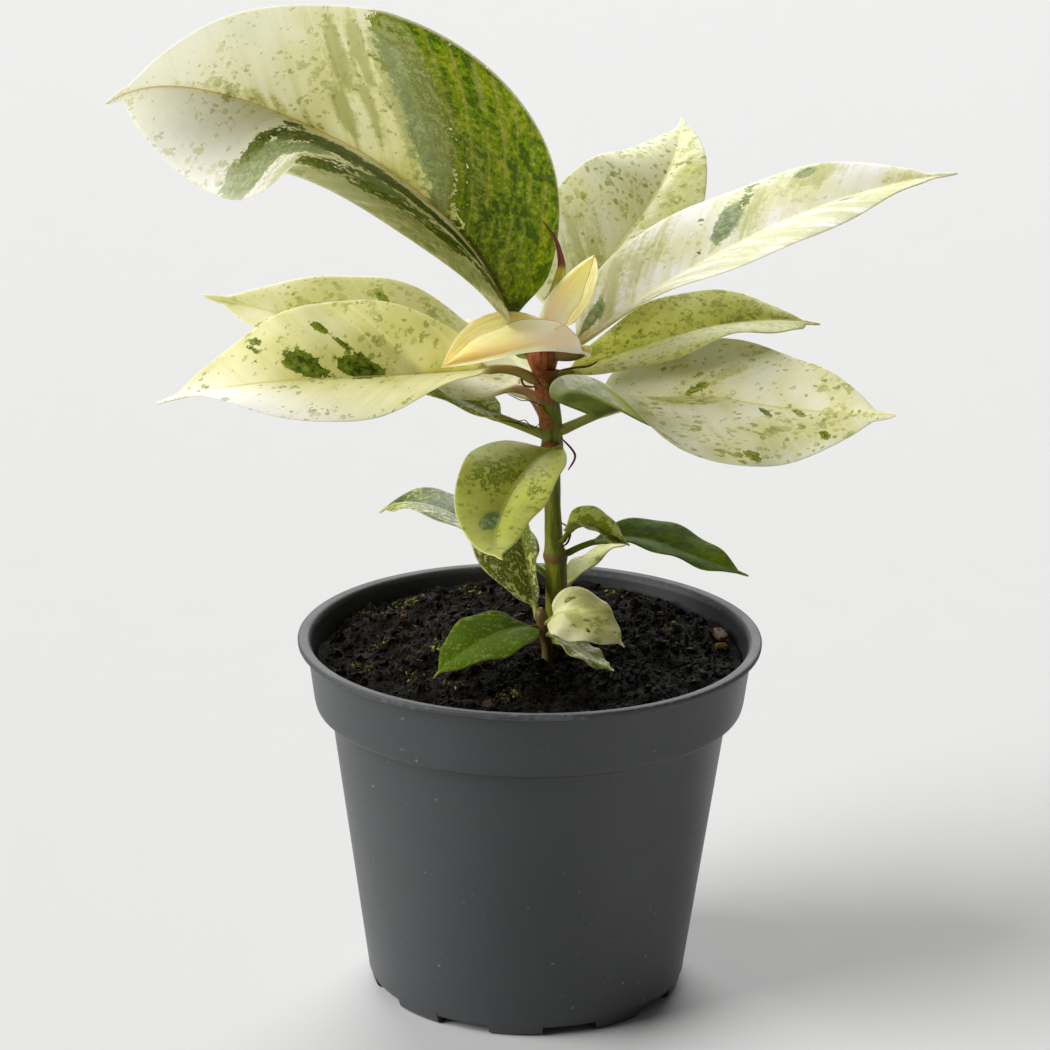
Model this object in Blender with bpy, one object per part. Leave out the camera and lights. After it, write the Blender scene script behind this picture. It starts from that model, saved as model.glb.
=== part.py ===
"""Potted variegated rubber fig: a young plant with eighteen leaves in a 12 cm nursery pot.

Units are metres, +Z is up and the photograph is taken along +Y. The origin is the centre of
the pot's underside. The pot and the soil are turned profiles, the stems are lofted along
their nodes, and each leaf is one closed loft: a round petiole that flattens into a thin
blade, folded along its midrib.
"""
import math
from dataclasses import dataclass

import bmesh
import bpy
from mathutils import Matrix, Vector

# Clearance between pieces that touch on the real plant
GAP = 0.0003

# Pot
POT_HEIGHT = 0.095
RIM_RADIUS = 0.060
LIP_THICKNESS = 0.0015
LIP_ROUNDING = 0.0004
FILLET = 0.0008
FOOT_DRAFT = 0.0005
COLLAR_TOP_RADIUS = 0.0575
COLLAR_LOW_RADIUS = 0.0556
COLLAR_LOW_HEIGHT = 0.0780
SHOULDER_HEIGHT = 0.0752
SHOULDER_RADIUS = 0.0514
BASE_RADIUS = 0.0410
BASE_ROUNDING = 0.0015
POT_WALL = 0.0014
POT_SIDES = 72
FLOOR_TOP = 0.0040
FOOT_HEIGHT = 0.0025
FOOT_WIDTH = 0.0040
FOOT_COUNT = 9
NOTCH_SHARE = 0.5
FIRST_NOTCH_DEG = -73.5
NOTCH_EDGE_DEG = 0.4
BOSS_RADIUS = 0.013
DRAIN_COUNT = 8
DRAIN_RADIUS = 0.003
DRAIN_CIRCLE = 0.025
DRAIN_SIDES = 10
POT_GREY = (0.045, 0.048, 0.052)

# Soil
SOIL_LEVEL = 0.0895
SOIL_BACK_RISE = 0.0035
SOIL_EDGE_FALL = 0.0020
SOIL_LUMP = 0.0007
SOIL_RINGS = 7
SOIL_SIDES = 40
SOIL_BROWN = (0.025, 0.018, 0.012)

# Stems, each a list of (height, x offset, radius) with its own depth from the camera
ROOT_HEIGHT = 0.060
STEM_SIDES = 12
MAIN_STEM_Y = 0.006
SHOOT_Y = -0.004
MAIN_STEM_NODES = (
    (ROOT_HEIGHT, 0.0070, 0.0029),
    (0.0960, 0.0070, 0.0029),
    (0.1120, 0.0065, 0.0028),
    (0.1145, 0.0063, 0.0031),
    (0.1180, 0.0060, 0.0024),
    (0.1280, 0.0054, 0.0021),
    (0.1410, 0.0052, 0.0021),
    (0.1440, 0.0052, 0.0026),
    (0.1510, 0.0048, 0.0024),
    (0.1570, 0.0040, 0.0024),
    (0.1630, 0.0028, 0.0023),
    (0.1665, 0.0024, 0.0036),
    (0.1690, 0.0024, 0.0044),
    (0.1715, 0.0024, 0.0030),
)
SHOOT_NODES = (
    (ROOT_HEIGHT, 0.0046, 0.0015),
    (0.0930, 0.0046, 0.0015),
    (0.0980, 0.0034, 0.0015),
    (0.1020, 0.0028, 0.0017),
    (0.1035, 0.0027, 0.0010),
)
STEMS = {"main": (MAIN_STEM_NODES, MAIN_STEM_Y), "shoot": (SHOOT_NODES, SHOOT_Y)}
STEM_GREEN = (0.20, 0.24, 0.06)
SHOOT_BROWN = (0.16, 0.11, 0.05)

# Leaf build
BLADE_THICKNESS = 0.0008
MARGIN_THICKNESS = 0.0006
MIDRIB_RIDGE = 0.0008
PETIOLE_STEPS = 6
BLADE_STEPS = 24
BLADE_RINGS = (1, 2, 4, 6, 8, 10, 12, 14, 16, 18, 20, 22, 23, 24)
LARGE_LEAF = 0.060
ACROSS_LARGE = (1.0, 0.66, 0.33, 0.0, -0.33, -0.66, -1.0)
ACROSS_SMALL = (1.0, 0.5, 0.0, -0.5, -1.0)
TIP_SHARE = 0.12
TIP_WIDTH = 0.07
TIP_OVERLAP = 0.55
TIP_TAPER = 0.6
BASE_SHARE = 0.3
BLADE_FULLNESS = 0.75
LEAST_HALF_WIDTH = 0.0005
LOBE_SHARE = 0.4
LOBE_RISE = 2.6

# Bud at the top of the stem
BUD_FOOT = Vector((0.0040, 0.0085, 0.1722))
BUD_LENGTH = 0.024
BUD_RADIUS = 0.0017
BUD_HEADING_DEG = 100.0
BUD_TILT_DEG = 12.0
BUD_BEND_DEG = 40.0
BUD_TIP_RADIUS = 0.0003
BUD_STEPS = 10
BUD_SIDES = 10
BUD_BROWN = (0.45, 0.30, 0.10)


@dataclass(frozen=True)
class Leaf:
    """One leaf: where it leaves its stem, how it runs and how its blade is shaped.

    Headings are seen from above, from +X towards +Y, and rises are above the horizontal.
    A fold lifts one half of the blade, given at the base, the middle and the tip. A pitch
    lifts the midrib and a sway turns it to the left, over each half of the length.
    """

    name: str
    colour: tuple
    heading: float
    rise: float
    length: float
    left: float
    right: float
    stem: str = "main"
    height: float = 0.0
    azimuth: float = 0.0
    foot: tuple = ()
    petiole: float = 0.009
    petiole_radius: float = 0.0012
    petiole_pitch: float = 0.0
    petiole_sway: float = 0.0
    roll: float = 0.0
    twist: float = 0.0
    pitch: tuple = (0.0, 0.0)
    sway: tuple = (0.0, 0.0)
    fold_left: tuple = (15.0, 10.0, 5.0)
    fold_right: tuple = (15.0, 10.0, 5.0)
    widest: float = 0.42
    lobe_right: float = 0.0


CREAM = (0.78, 0.76, 0.50)
PALE_GREEN = (0.60, 0.66, 0.36)
LEAF_GREEN = (0.26, 0.38, 0.10)
DARK_GREEN = (0.08, 0.16, 0.04)
SCALE_YELLOW = (0.86, 0.70, 0.33)

LEAVES = (
    Leaf("leaf_top_left", PALE_GREEN, heading=195, rise=64, length=0.141, left=0.0395, right=0.0365,
         height=0.1685, azimuth=170, petiole=0.0075, petiole_pitch=10, petiole_sway=10,
         roll=-55, twist=-60, pitch=(-50, 80), sway=(30, 25),
         fold_left=(48, 65, -5), fold_right=(25, 25, 0)),
    Leaf("leaf_top_back", CREAM, heading=69, rise=22, length=0.095, left=0.0225, right=0.0165,
         height=0.169, azimuth=75, petiole=0.009, petiole_radius=0.0011, petiole_sway=-5,
         roll=10, twist=-10, pitch=(10, -20), sway=(-5, 30),
         fold_left=(20, 30, -5), fold_right=(20, 0, 25), widest=0.36),
    Leaf("leaf_top_right", CREAM, heading=13, rise=36, length=0.110, left=0.023, right=0.019,
         height=0.1685, azimuth=5, petiole=0.0075, petiole_radius=0.0011,
         roll=5, twist=15, pitch=(-15, -20), sway=(5, 0),
         fold_left=(35, 5, 15), fold_right=(20, 10, 20), widest=0.44),
    Leaf("leaf_right_back", LEAF_GREEN, heading=20, rise=21, length=0.068, left=0.0145, right=0.021,
         height=0.162, azimuth=25, petiole=0.010, petiole_radius=0.0011, petiole_pitch=-5,
         roll=15, pitch=(-10, -20), sway=(5, -5),
         fold_left=(15, 15, 15), fold_right=(5, 25, 10), widest=0.52),
    Leaf("leaf_right_front", CREAM, heading=0, rise=27, length=0.080, left=0.0235, right=0.032,
         height=0.149, azimuth=-10, petiole=0.008, petiole_sway=-10,
         twist=20, pitch=(-30, 15), sway=(-10, -5),
         fold_left=(25, 10, 20), fold_right=(70, 0, -10), widest=0.36, lobe_right=0.008),
    Leaf("leaf_left_front", CREAM, heading=195, rise=40, length=0.088, left=0.020, right=0.021,
         height=0.1624, azimuth=195, petiole=0.011, petiole_pitch=-42,
         roll=-30, twist=5, pitch=(0, -35), sway=(-5, -20),
         fold_left=(40, 10, 45), fold_right=(60, 25, 5), widest=0.44),
    Leaf("leaf_left_back", PALE_GREEN, heading=150, rise=34, length=0.087, left=0.020, right=0.022,
         height=0.1566, azimuth=155, petiole=0.005, petiole_pitch=-30,
         roll=-15, pitch=(25, -20), sway=(25, -15),
         fold_left=(5, 50, -20), fold_right=(-15, 20, 15), widest=0.36),
    Leaf("leaf_left_low", LEAF_GREEN, heading=165, rise=16, length=0.052, left=0.010, right=0.014,
         height=0.1475, azimuth=170, petiole=0.010, petiole_radius=0.0011,
         twist=-5, pitch=(10, -25),
         fold_left=(10, 10, 5), fold_right=(10, 10, 5), widest=0.40),
    Leaf("leaf_back_low", PALE_GREEN, heading=106, rise=12, length=0.062, left=0.0165, right=0.0085,
         height=0.1505, azimuth=120, petiole=0.009, petiole_radius=0.0011,
         roll=15, twist=5, pitch=(-5, -10),
         fold_left=(-10, 10, 5), fold_right=(-5, 0, 5), widest=0.46),
    Leaf("leaf_middle_front", LEAF_GREEN, heading=241, rise=4, length=0.059, left=0.0115, right=0.0145,
         height=0.1445, azimuth=-60, petiole=0.003, petiole_radius=0.0009,
         roll=-5, pitch=(-30, 30), sway=(10, 35),
         fold_left=(20, 15, 10), fold_right=(10, 30, 0), widest=0.40),
    Leaf("leaf_small_left", DARK_GREEN, heading=138, rise=14, length=0.060, left=0.008, right=0.013,
         height=0.109, azimuth=140, petiole=0.004, petiole_radius=0.0009,
         twist=-20, pitch=(-5, -50), sway=(5, -5),
         fold_left=(20, 20, -5), fold_right=(10, -15, 20), widest=0.40),
    Leaf("leaf_small_right", DARK_GREEN, heading=-12, rise=34, length=0.043, left=0.011, right=0.008,
         height=0.1155, azimuth=5, petiole=0.0065, petiole_radius=0.0008, petiole_pitch=-10,
         petiole_sway=-5, roll=5, pitch=(-40, 5), sway=(-5, 0),
         fold_left=(15, 5, 15), fold_right=(15, 15, 5), widest=0.44),
    Leaf("leaf_small_folded", DARK_GREEN, heading=-36, rise=58, length=0.020, left=0.005, right=0.0065,
         height=0.1196, azimuth=-45, petiole=0.003, petiole_radius=0.0007, petiole_sway=-5,
         roll=5, twist=5, pitch=(-75, -5), sway=(0, 5),
         fold_left=(75, 70, 60), fold_right=(10, 30, 10)),
    Leaf("leaf_small_back", PALE_GREEN, heading=58, rise=18, length=0.039, left=0.0045, right=0.0075,
         height=0.1035, azimuth=55, petiole=0.0025, petiole_radius=0.0008, petiole_pitch=10,
         petiole_sway=15, roll=-15, twist=-5, pitch=(-30, -5), sway=(-15, -5),
         fold_left=(15, 0, 5), fold_right=(5, 5, 5), widest=0.44),
    Leaf("leaf_shoot_back", LEAF_GREEN, heading=111, rise=55, length=0.039, left=0.0150, right=0.005,
         stem="shoot", height=0.1005, azimuth=115, petiole=0.0025, petiole_radius=0.0008,
         twist=5, pitch=(-25, -40), sway=(-10, 10),
         fold_left=(15, 5, 5), fold_right=(75, 75, 60), widest=0.44),
    Leaf("leaf_shoot_right", CREAM, heading=-38, rise=32, length=0.024, left=0.0075, right=0.010,
         stem="shoot", height=0.1005, azimuth=-35, petiole=0.002, petiole_radius=0.0008,
         petiole_pitch=15, petiole_sway=-10, roll=25, twist=-10, pitch=(-65, -30), sway=(-10, 0),
         fold_left=(65, 0, 0), fold_right=(5, 0, 5), widest=0.40),
    Leaf("leaf_shoot_low", LEAF_GREEN, heading=-47, rise=-5, length=0.020, left=0.0045, right=0.0075,
         stem="shoot", height=0.097, azimuth=-40, petiole=0.0025, petiole_radius=0.0008,
         roll=-5, pitch=(-10, 5), sway=(5, 5),
         fold_left=(15, 10, 5), fold_right=(20, 15, 0), widest=0.44),
    Leaf("leaf_shoot_left", LEAF_GREEN, heading=227, rise=13, length=0.035, left=0.011, right=0.0095,
         stem="shoot", height=0.0985, azimuth=210, petiole=0.002, petiole_radius=0.0008,
         petiole_pitch=5, petiole_sway=5, roll=-10, twist=5, pitch=(-30, -20), sway=(-5, 0),
         fold_left=(15, 5, 10), fold_right=(15, 10, 5)),
    Leaf("bud_scale_left", SCALE_YELLOW, heading=202, rise=-3, length=0.034, left=0.0125, right=0.0080,
         foot=(0.0050, -0.0005, 0.1722), petiole=0.001, petiole_pitch=-5, petiole_sway=15,
         roll=5, twist=5, pitch=(5, 20), sway=(5, 15),
         fold_left=(65, 40, 70), fold_right=(75, 65, 60), widest=0.44),
    Leaf("bud_scale_right", SCALE_YELLOW, heading=29, rise=76, length=0.029, left=0.0105, right=0.0135,
         foot=(0.0010, 0.0050, 0.1732), petiole=0.001, petiole_pitch=5, petiole_sway=-5,
         roll=135, twist=10, pitch=(30, 15), sway=(5, 10),
         fold_left=(50, 50, 55), fold_right=(70, 40, 40)),
)


def clear_scene():
    """Remove every object of the open file."""
    for old in list(bpy.data.objects):
        bpy.data.objects.remove(old, do_unlink=True)


def make_material(name, colour, roughness, metallic=0.0):
    """Return a Principled material with one colour."""
    material = bpy.data.materials.new(name)
    material.use_nodes = True
    shader = material.node_tree.nodes["Principled BSDF"]
    shader.inputs["Base Color"].default_value = (*colour, 1.0)
    shader.inputs["Roughness"].default_value = roughness
    shader.inputs["Metallic"].default_value = metallic
    material.diffuse_color = (*colour, 1.0)
    return material


def add_object(name, mesh, material, location, parent):
    """Link a mesh as an object at its location under the parent empty."""
    mesh.materials.append(material)
    mesh.shade_smooth()
    mesh.set_sharp_from_angle(angle=math.radians(40))
    made = bpy.data.objects.new(name, mesh)
    made.location = location
    made.parent = parent
    bpy.context.collection.objects.link(made)
    return made


def loft(name, rings):
    """Bridge rings of equal point count into one closed mesh with capped ends.

    The two halves of each ring are split into triangles alike, so that a thin blade's upper
    and lower faces bend along the same lines.
    """
    shape = bmesh.new()
    loops = [[shape.verts.new(point) for point in ring] for ring in rings]
    count = len(rings[0])
    for lower, upper in zip(loops, loops[1:]):
        for i in range(count):
            j = (i + 1) % count
            if i < count // 2:
                shape.faces.new((lower[i], lower[j], upper[j]))
                shape.faces.new((lower[i], upper[j], upper[i]))
            else:
                shape.faces.new((lower[i], lower[j], upper[i]))
                shape.faces.new((lower[j], upper[j], upper[i]))
    shape.faces.new(reversed(loops[0]))
    shape.faces.new(loops[-1])
    bmesh.ops.recalc_face_normals(shape, faces=shape.faces)
    mesh = bpy.data.meshes.new(name)
    shape.to_mesh(mesh)
    shape.free()
    return mesh


def spin_profile(name, profile, angles, height_at=None):
    """Turn a profile that starts and ends on the axis; height_at may shift its points."""
    shape = bmesh.new()
    first = shape.verts.new((0.0, 0.0, profile[0][1]))
    last = shape.verts.new((0.0, 0.0, profile[-1][1]))
    columns = []
    for angle in angles:
        column = []
        for index, (radius, height) in enumerate(profile[1:-1]):
            x, y = radius * math.cos(angle), radius * math.sin(angle)
            if height_at:
                height = height_at(index, x, y, height, angle)
            column.append(shape.verts.new((x, y, height)))
        columns.append(column)
    for left, right in zip(columns, columns[1:] + columns[:1]):
        shape.faces.new((first, left[0], right[0]))
        shape.faces.new((last, right[-1], left[-1]))
        for i in range(len(left) - 1):
            shape.faces.new((left[i], left[i + 1], right[i + 1], right[i]))
    bmesh.ops.recalc_face_normals(shape, faces=shape.faces)
    mesh = bpy.data.meshes.new(name)
    shape.to_mesh(mesh)
    shape.free()
    return mesh


def cylinder_cutter(name, radius, low, high, x, y, sides, parent):
    """Add a hidden upright cylinder that a Boolean cuts with."""
    shape = bmesh.new()
    bmesh.ops.create_cone(shape, cap_ends=True, segments=sides, radius1=radius, radius2=radius,
                          depth=high - low)
    mesh = bpy.data.meshes.new(name)
    shape.to_mesh(mesh)
    shape.free()
    cutter = bpy.data.objects.new(name, mesh)
    cutter.location = (x, y, (low + high) / 2)
    cutter.parent = parent
    cutter.hide_render = True
    cutter.display_type = "WIRE"
    bpy.context.collection.objects.link(cutter)
    return cutter


def cut(target, cutter):
    """Subtract a cutter from the target with a Boolean."""
    boolean = target.modifiers.new(f"cut {cutter.name}", "BOOLEAN")
    boolean.operation = "DIFFERENCE"
    boolean.object = cutter


def inner_radius(height):
    """Return the radius of the pot's inside at a height."""
    low = (FLOOR_TOP, BASE_RADIUS - POT_WALL)
    shoulder = (SHOULDER_HEIGHT, SHOULDER_RADIUS - POT_WALL)
    collar = (COLLAR_LOW_HEIGHT, COLLAR_LOW_RADIUS - POT_WALL)
    top = (POT_HEIGHT, COLLAR_TOP_RADIUS - POT_WALL / 2)
    steps = (low, shoulder, collar, top)
    for (z0, r0), (z1, r1) in zip(steps, steps[1:]):
        if height <= z1:
            share = max(0.0, (height - z0) / (z1 - z0))
            return r0 + (r1 - r0) * share
    return top[1]


def notch_angles():
    """Return the pot's column angles, with a pair of columns at each notch edge."""
    pitch = math.tau / FOOT_COUNT
    half = pitch * NOTCH_SHARE / 2
    edge = math.radians(NOTCH_EDGE_DEG)
    per_pitch = POT_SIDES // FOOT_COUNT
    inside = per_pitch // 2 - 1
    angles = []
    for k in range(FOOT_COUNT):
        centre = math.radians(FIRST_NOTCH_DEG) + k * pitch
        angles += [centre - half - edge, centre - half]
        angles += [centre - half + 2 * half * (i + 1) / (inside + 1) for i in range(inside)]
        angles += [centre + half, centre + half + edge]
        rest = pitch - 2 * half - 2 * edge
        angles += [centre + half + edge + rest * (i + 1) / (inside + 1) for i in range(inside)]
    return angles


def in_notch(angle):
    """Say whether a column stands in one of the notches of the foot ring."""
    pitch = math.tau / FOOT_COUNT
    offset = (angle - math.radians(FIRST_NOTCH_DEG) + pitch / 2) % pitch - pitch / 2
    return abs(offset) <= pitch * NOTCH_SHARE / 2 + math.radians(NOTCH_EDGE_DEG) / 2


def build_pot(parent):
    """Build the pot: collar, lip, notched foot ring, centre boss and drain holes."""
    foot_inner = BASE_RADIUS - FOOT_WIDTH
    profile = [
        (0.0, 0.0),
        (BOSS_RADIUS, 0.0),
        (BOSS_RADIUS + FOOT_DRAFT, FOOT_HEIGHT),
        (foot_inner - FOOT_DRAFT, FOOT_HEIGHT),
        (foot_inner, 0.0),
        (BASE_RADIUS - BASE_ROUNDING, 0.0),
        (BASE_RADIUS - BASE_ROUNDING * 0.3, BASE_ROUNDING * 0.7),
        (BASE_RADIUS + GAP, FOOT_HEIGHT + FOOT_DRAFT),
        (SHOULDER_RADIUS, SHOULDER_HEIGHT),
        (COLLAR_LOW_RADIUS - FILLET, COLLAR_LOW_HEIGHT - FILLET),
        (COLLAR_LOW_RADIUS, COLLAR_LOW_HEIGHT),
        (COLLAR_TOP_RADIUS, POT_HEIGHT - LIP_THICKNESS - FILLET),
        (RIM_RADIUS - LIP_ROUNDING, POT_HEIGHT - LIP_THICKNESS),
        (RIM_RADIUS, POT_HEIGHT - LIP_THICKNESS / 2),
        (RIM_RADIUS - LIP_ROUNDING, POT_HEIGHT),
        (inner_radius(POT_HEIGHT), POT_HEIGHT),
        (inner_radius(COLLAR_LOW_HEIGHT), COLLAR_LOW_HEIGHT),
        (inner_radius(SHOULDER_HEIGHT), SHOULDER_HEIGHT),
        (inner_radius(FLOOR_TOP) - GAP, FLOOR_TOP),
        (0.0, FLOOR_TOP),
    ]
    foot_points = (3, 4, 5)

    def foot_height(index, x, y, height, angle):
        if index in foot_points and in_notch(angle):
            return FOOT_HEIGHT
        return height

    mesh = spin_profile("pot", profile, notch_angles(), foot_height)
    material = make_material("pot plastic", POT_GREY, 0.48)
    pot = add_object("pot", mesh, material, (0.0, 0.0, 0.0), parent)
    for k in range(DRAIN_COUNT):
        angle = math.tau * (k + 0.5) / DRAIN_COUNT
        x, y = DRAIN_CIRCLE * math.cos(angle), DRAIN_CIRCLE * math.sin(angle)
        drain = cylinder_cutter(f"drain {k + 1}", DRAIN_RADIUS, 0.0, 2 * FLOOR_TOP, x, y,
                                DRAIN_SIDES, parent)
        cut(pot, drain)
    return pot


def soil_height(x, y):
    """Return the height of the soil: higher at the back, a little lower at the wall."""
    radius = math.hypot(x, y) / inner_radius(SOIL_LEVEL)
    lumps = math.sin(210 * x + 1.0) * math.sin(190 * y + 0.4) + 0.5 * math.sin(420 * x - 310 * y)
    rise = SOIL_BACK_RISE * y / inner_radius(SOIL_LEVEL)
    return SOIL_LEVEL + rise - SOIL_EDGE_FALL * radius ** 4 + SOIL_LUMP * lumps


def build_soil(parent):
    """Build the soil as a plug in the pot, with a plain hole for each stem."""
    wall = inner_radius(SOIL_LEVEL - SOIL_BACK_RISE - SOIL_EDGE_FALL) - 1.5 * GAP
    top = [(wall * (SOIL_RINGS - i) / SOIL_RINGS, SOIL_LEVEL) for i in range(SOIL_RINGS)]
    side = [
        (inner_radius(FLOOR_TOP) - 3 * GAP, FLOOR_TOP + GAP),
        (inner_radius(SHOULDER_HEIGHT) - 2 * GAP, SHOULDER_HEIGHT),
        (inner_radius(COLLAR_LOW_HEIGHT) - 2 * GAP, COLLAR_LOW_HEIGHT),
    ]
    profile = [(0.0, FLOOR_TOP + GAP)] + side + top + [(0.0, soil_height(0.0, 0.0))]

    def surface(index, x, y, height, angle):
        return soil_height(x, y) if index >= len(side) else height

    angles = [math.tau * i / SOIL_SIDES for i in range(SOIL_SIDES)]
    mesh = spin_profile("soil", profile, angles, surface)
    soil = add_object("soil", mesh, make_material("soil", SOIL_BROWN, 0.95), (0.0, 0.0, 0.0), parent)
    for name, (nodes, depth) in STEMS.items():
        height, x, radius = nodes[0]
        hole_radius = (radius + GAP) / math.cos(math.pi / STEM_SIDES)
        hole = cylinder_cutter(f"{name} stem hole", hole_radius, height - GAP, 1.1 * POT_HEIGHT,
                               x, depth, STEM_SIDES, parent)
        cut(soil, hole)
    return soil


def stem_at(stem, height):
    """Return the centre and radius of a stem at a height."""
    nodes, depth = STEMS[stem]
    for (z0, x0, r0), (z1, x1, r1) in zip(nodes, nodes[1:]):
        if height <= z1:
            share = (height - z0) / (z1 - z0)
            return Vector((x0 + (x1 - x0) * share, depth, height)), r0 + (r1 - r0) * share
    return Vector((nodes[-1][1], depth, height)), nodes[-1][2]


def build_stem(name, stem, colour, parent):
    """Loft one stem through its nodes, from its root end to its blunt top."""
    nodes, depth = STEMS[stem]
    foot = Vector((nodes[0][1], depth, nodes[0][0]))
    rings = []
    for height, x, radius in nodes:
        level = Frame(Vector((x, depth, height)) - foot, Vector((0.0, 0.0, 1.0)),
                      Vector((1.0, 0.0, 0.0)), Vector((0.0, 1.0, 0.0)))
        rings.append(round_ring(level, radius, STEM_SIDES))
    return add_object(name, loft(name, rings), make_material(name, colour, 0.6), foot, parent)


def turn(vector, axis, angle):
    """Return the vector turned about an axis by an angle in radians."""
    return Matrix.Rotation(angle, 3, axis) @ vector


@dataclass
class Frame:
    """A place along a leaf: its point, its direction and its side and face directions."""

    point: Vector
    along: Vector
    side: Vector
    face: Vector

    def step(self, distance, pitch, sway, twist):
        """Return the frame one step on, bent by the three angles."""
        along, face = turn(self.along, self.side, -pitch), turn(self.face, self.side, -pitch)
        along, side = turn(along, face, sway), turn(self.side, face, sway)
        side, face = turn(side, along, twist), turn(face, along, twist)
        return Frame(self.point + along * distance, along, side, face)


def direction(heading_deg, rise_deg):
    """Return the unit vector with a heading seen from above and a rise, in degrees."""
    heading, rise = math.radians(heading_deg), math.radians(rise_deg)
    return Vector((math.cos(heading) * math.cos(rise), math.sin(heading) * math.cos(rise), math.sin(rise)))


def upright_frame(along):
    """Return a frame at the origin that looks along a vector, with its side level."""
    side = Vector((0.0, 0.0, 1.0)).cross(along).normalized()
    return Frame(Vector((0.0, 0.0, 0.0)), along, side, along.cross(side))


def leaf_foot(leaf):
    """Return where a leaf's petiole starts, just clear of its stem."""
    if leaf.foot:
        return Vector(leaf.foot)
    centre, radius = stem_at(leaf.stem, leaf.height)
    outward = direction(leaf.azimuth, 0.0)
    lean = leaf.petiole_radius * math.sin(outward.angle(direction(leaf.heading, leaf.rise)))
    return centre + outward * (radius + 1.8 * GAP + lean)


def leaf_frames(leaf):
    """Return the frames along the petiole and along the blade, from the petiole's foot."""
    frame = upright_frame(direction(leaf.heading, leaf.rise))
    petiole = [frame]
    for _ in range(PETIOLE_STEPS):
        frame = frame.step(leaf.petiole / PETIOLE_STEPS, math.radians(leaf.petiole_pitch) / PETIOLE_STEPS,
                           math.radians(leaf.petiole_sway) / PETIOLE_STEPS, 0.0)
        petiole.append(frame)
    roll = math.radians(leaf.roll)
    frame = Frame(frame.point, frame.along, turn(frame.side, frame.along, roll),
                  turn(frame.face, frame.along, roll))
    blade = [frame]
    for i in range(BLADE_STEPS):
        half = 0 if i < BLADE_STEPS / 2 else 1
        share = 2.0 / BLADE_STEPS
        frame = frame.step(leaf.length / BLADE_STEPS, math.radians(leaf.pitch[half]) * share,
                           math.radians(leaf.sway[half]) * share, math.radians(leaf.twist) * share / 2)
        blade.append(frame)
    return petiole, blade


def ease(values, t):
    """Blend smoothly through values given at the base, the middle and the tip."""
    first, middle, last = values
    if t < 0.5:
        share = t * 2
        return first + (middle - first) * share * share * (3 - 2 * share)
    share = t * 2 - 1
    return middle + (last - middle) * share * share * (3 - 2 * share)


def blade_outline(t, widest):
    """Return the half width of a blade at t, from 0 to 1, with a slender drip tip."""
    body_end = 1 - TIP_OVERLAP * TIP_SHARE
    power = math.log(0.5) / math.log(widest / body_end)
    body = math.sin(math.pi * min(t / body_end, 1.0) ** power)
    body = max(body, 0.0) ** BLADE_FULLNESS
    tip = TIP_WIDTH * min((1 - t) / TIP_SHARE, 1.0) ** TIP_TAPER * min(t / BASE_SHARE, 1.0)
    return (body ** 3 + tip ** 3) ** (1 / 3)


def base_lobe(t):
    """Return how far back the margin of a lobed base reaches at t, from 0 to 1."""
    share = min(t / LOBE_SHARE, 1.0)
    return LOBE_RISE * math.sqrt(share) * (1 - share)


def blade_ring(leaf, frame, t, across):
    """Return one closed ring of a blade, upper side from left to right and back below."""
    upper, lower = [], []
    outline = blade_outline(t, leaf.widest)
    fold_left, fold_right = (math.radians(ease(fold, t)) for fold in (leaf.fold_left, leaf.fold_right))
    for share in across:
        left = share > 0
        fold = fold_left if left else fold_right
        reach = max((leaf.left if left else leaf.right) * outline, LEAST_HALF_WIDTH) * abs(share)
        sideways = frame.side if left else -frame.side
        lobe = 0.0 if left else -leaf.lobe_right * abs(share) * base_lobe(t)
        middle = frame.point + (sideways * math.cos(fold) + frame.face * math.sin(fold)) * reach
        middle += frame.along * lobe
        if share:
            normal = frame.face * math.cos(fold) - sideways * math.sin(fold)
        else:
            normal = frame.face
        thick = BLADE_THICKNESS + (MARGIN_THICKNESS - BLADE_THICKNESS) * abs(share)
        ridge = MIDRIB_RIDGE * (1 - t) if share == 0 else 0.0
        upper.append(middle + normal * thick / 2)
        lower.append(middle - normal * (thick / 2 + ridge))
    return upper + lower[::-1]


def round_ring(frame, radius, count):
    """Return a round ring about a frame, in the order of a blade's rings."""
    ring = []
    for i in range(count):
        angle = math.tau * (i + 0.5) / count
        ring.append(frame.point + frame.side * radius * math.cos(angle)
                    + frame.face * radius * math.sin(angle))
    return ring


def build_leaf(leaf, parent):
    """Build one leaf as a closed loft from its petiole's foot to its tip."""
    across = ACROSS_LARGE if leaf.length > LARGE_LEAF else ACROSS_SMALL
    petiole, blade = leaf_frames(leaf)
    round_frames = (petiole[0], petiole[PETIOLE_STEPS // 2], blade[0])
    rings = [round_ring(frame, leaf.petiole_radius, 2 * len(across)) for frame in round_frames]
    rings += [blade_ring(leaf, blade[i], i / BLADE_STEPS, across) for i in BLADE_RINGS]
    material = make_material(leaf.name, leaf.colour, 0.35)
    return add_object(leaf.name, loft(leaf.name, rings), material, leaf_foot(leaf), parent)


def build_bud(parent):
    """Build the pointed bud that stands behind the open scales."""
    frame = upright_frame(direction(BUD_HEADING_DEG, 90.0 - BUD_TILT_DEG))
    rings = []
    for i in range(BUD_STEPS + 1):
        t = i / BUD_STEPS
        radius = BUD_RADIUS * (1 - t) ** 0.7 * (0.75 + t) + BUD_TIP_RADIUS
        rings.append(round_ring(frame, radius, BUD_SIDES))
        bend = math.radians(BUD_BEND_DEG) * 2 * t / BUD_STEPS
        frame = frame.step(BUD_LENGTH / BUD_STEPS, 0.0, bend, 0.0)
    return add_object("bud", loft("bud", rings), make_material("bud", BUD_BROWN, 0.5), BUD_FOOT, parent)


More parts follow.
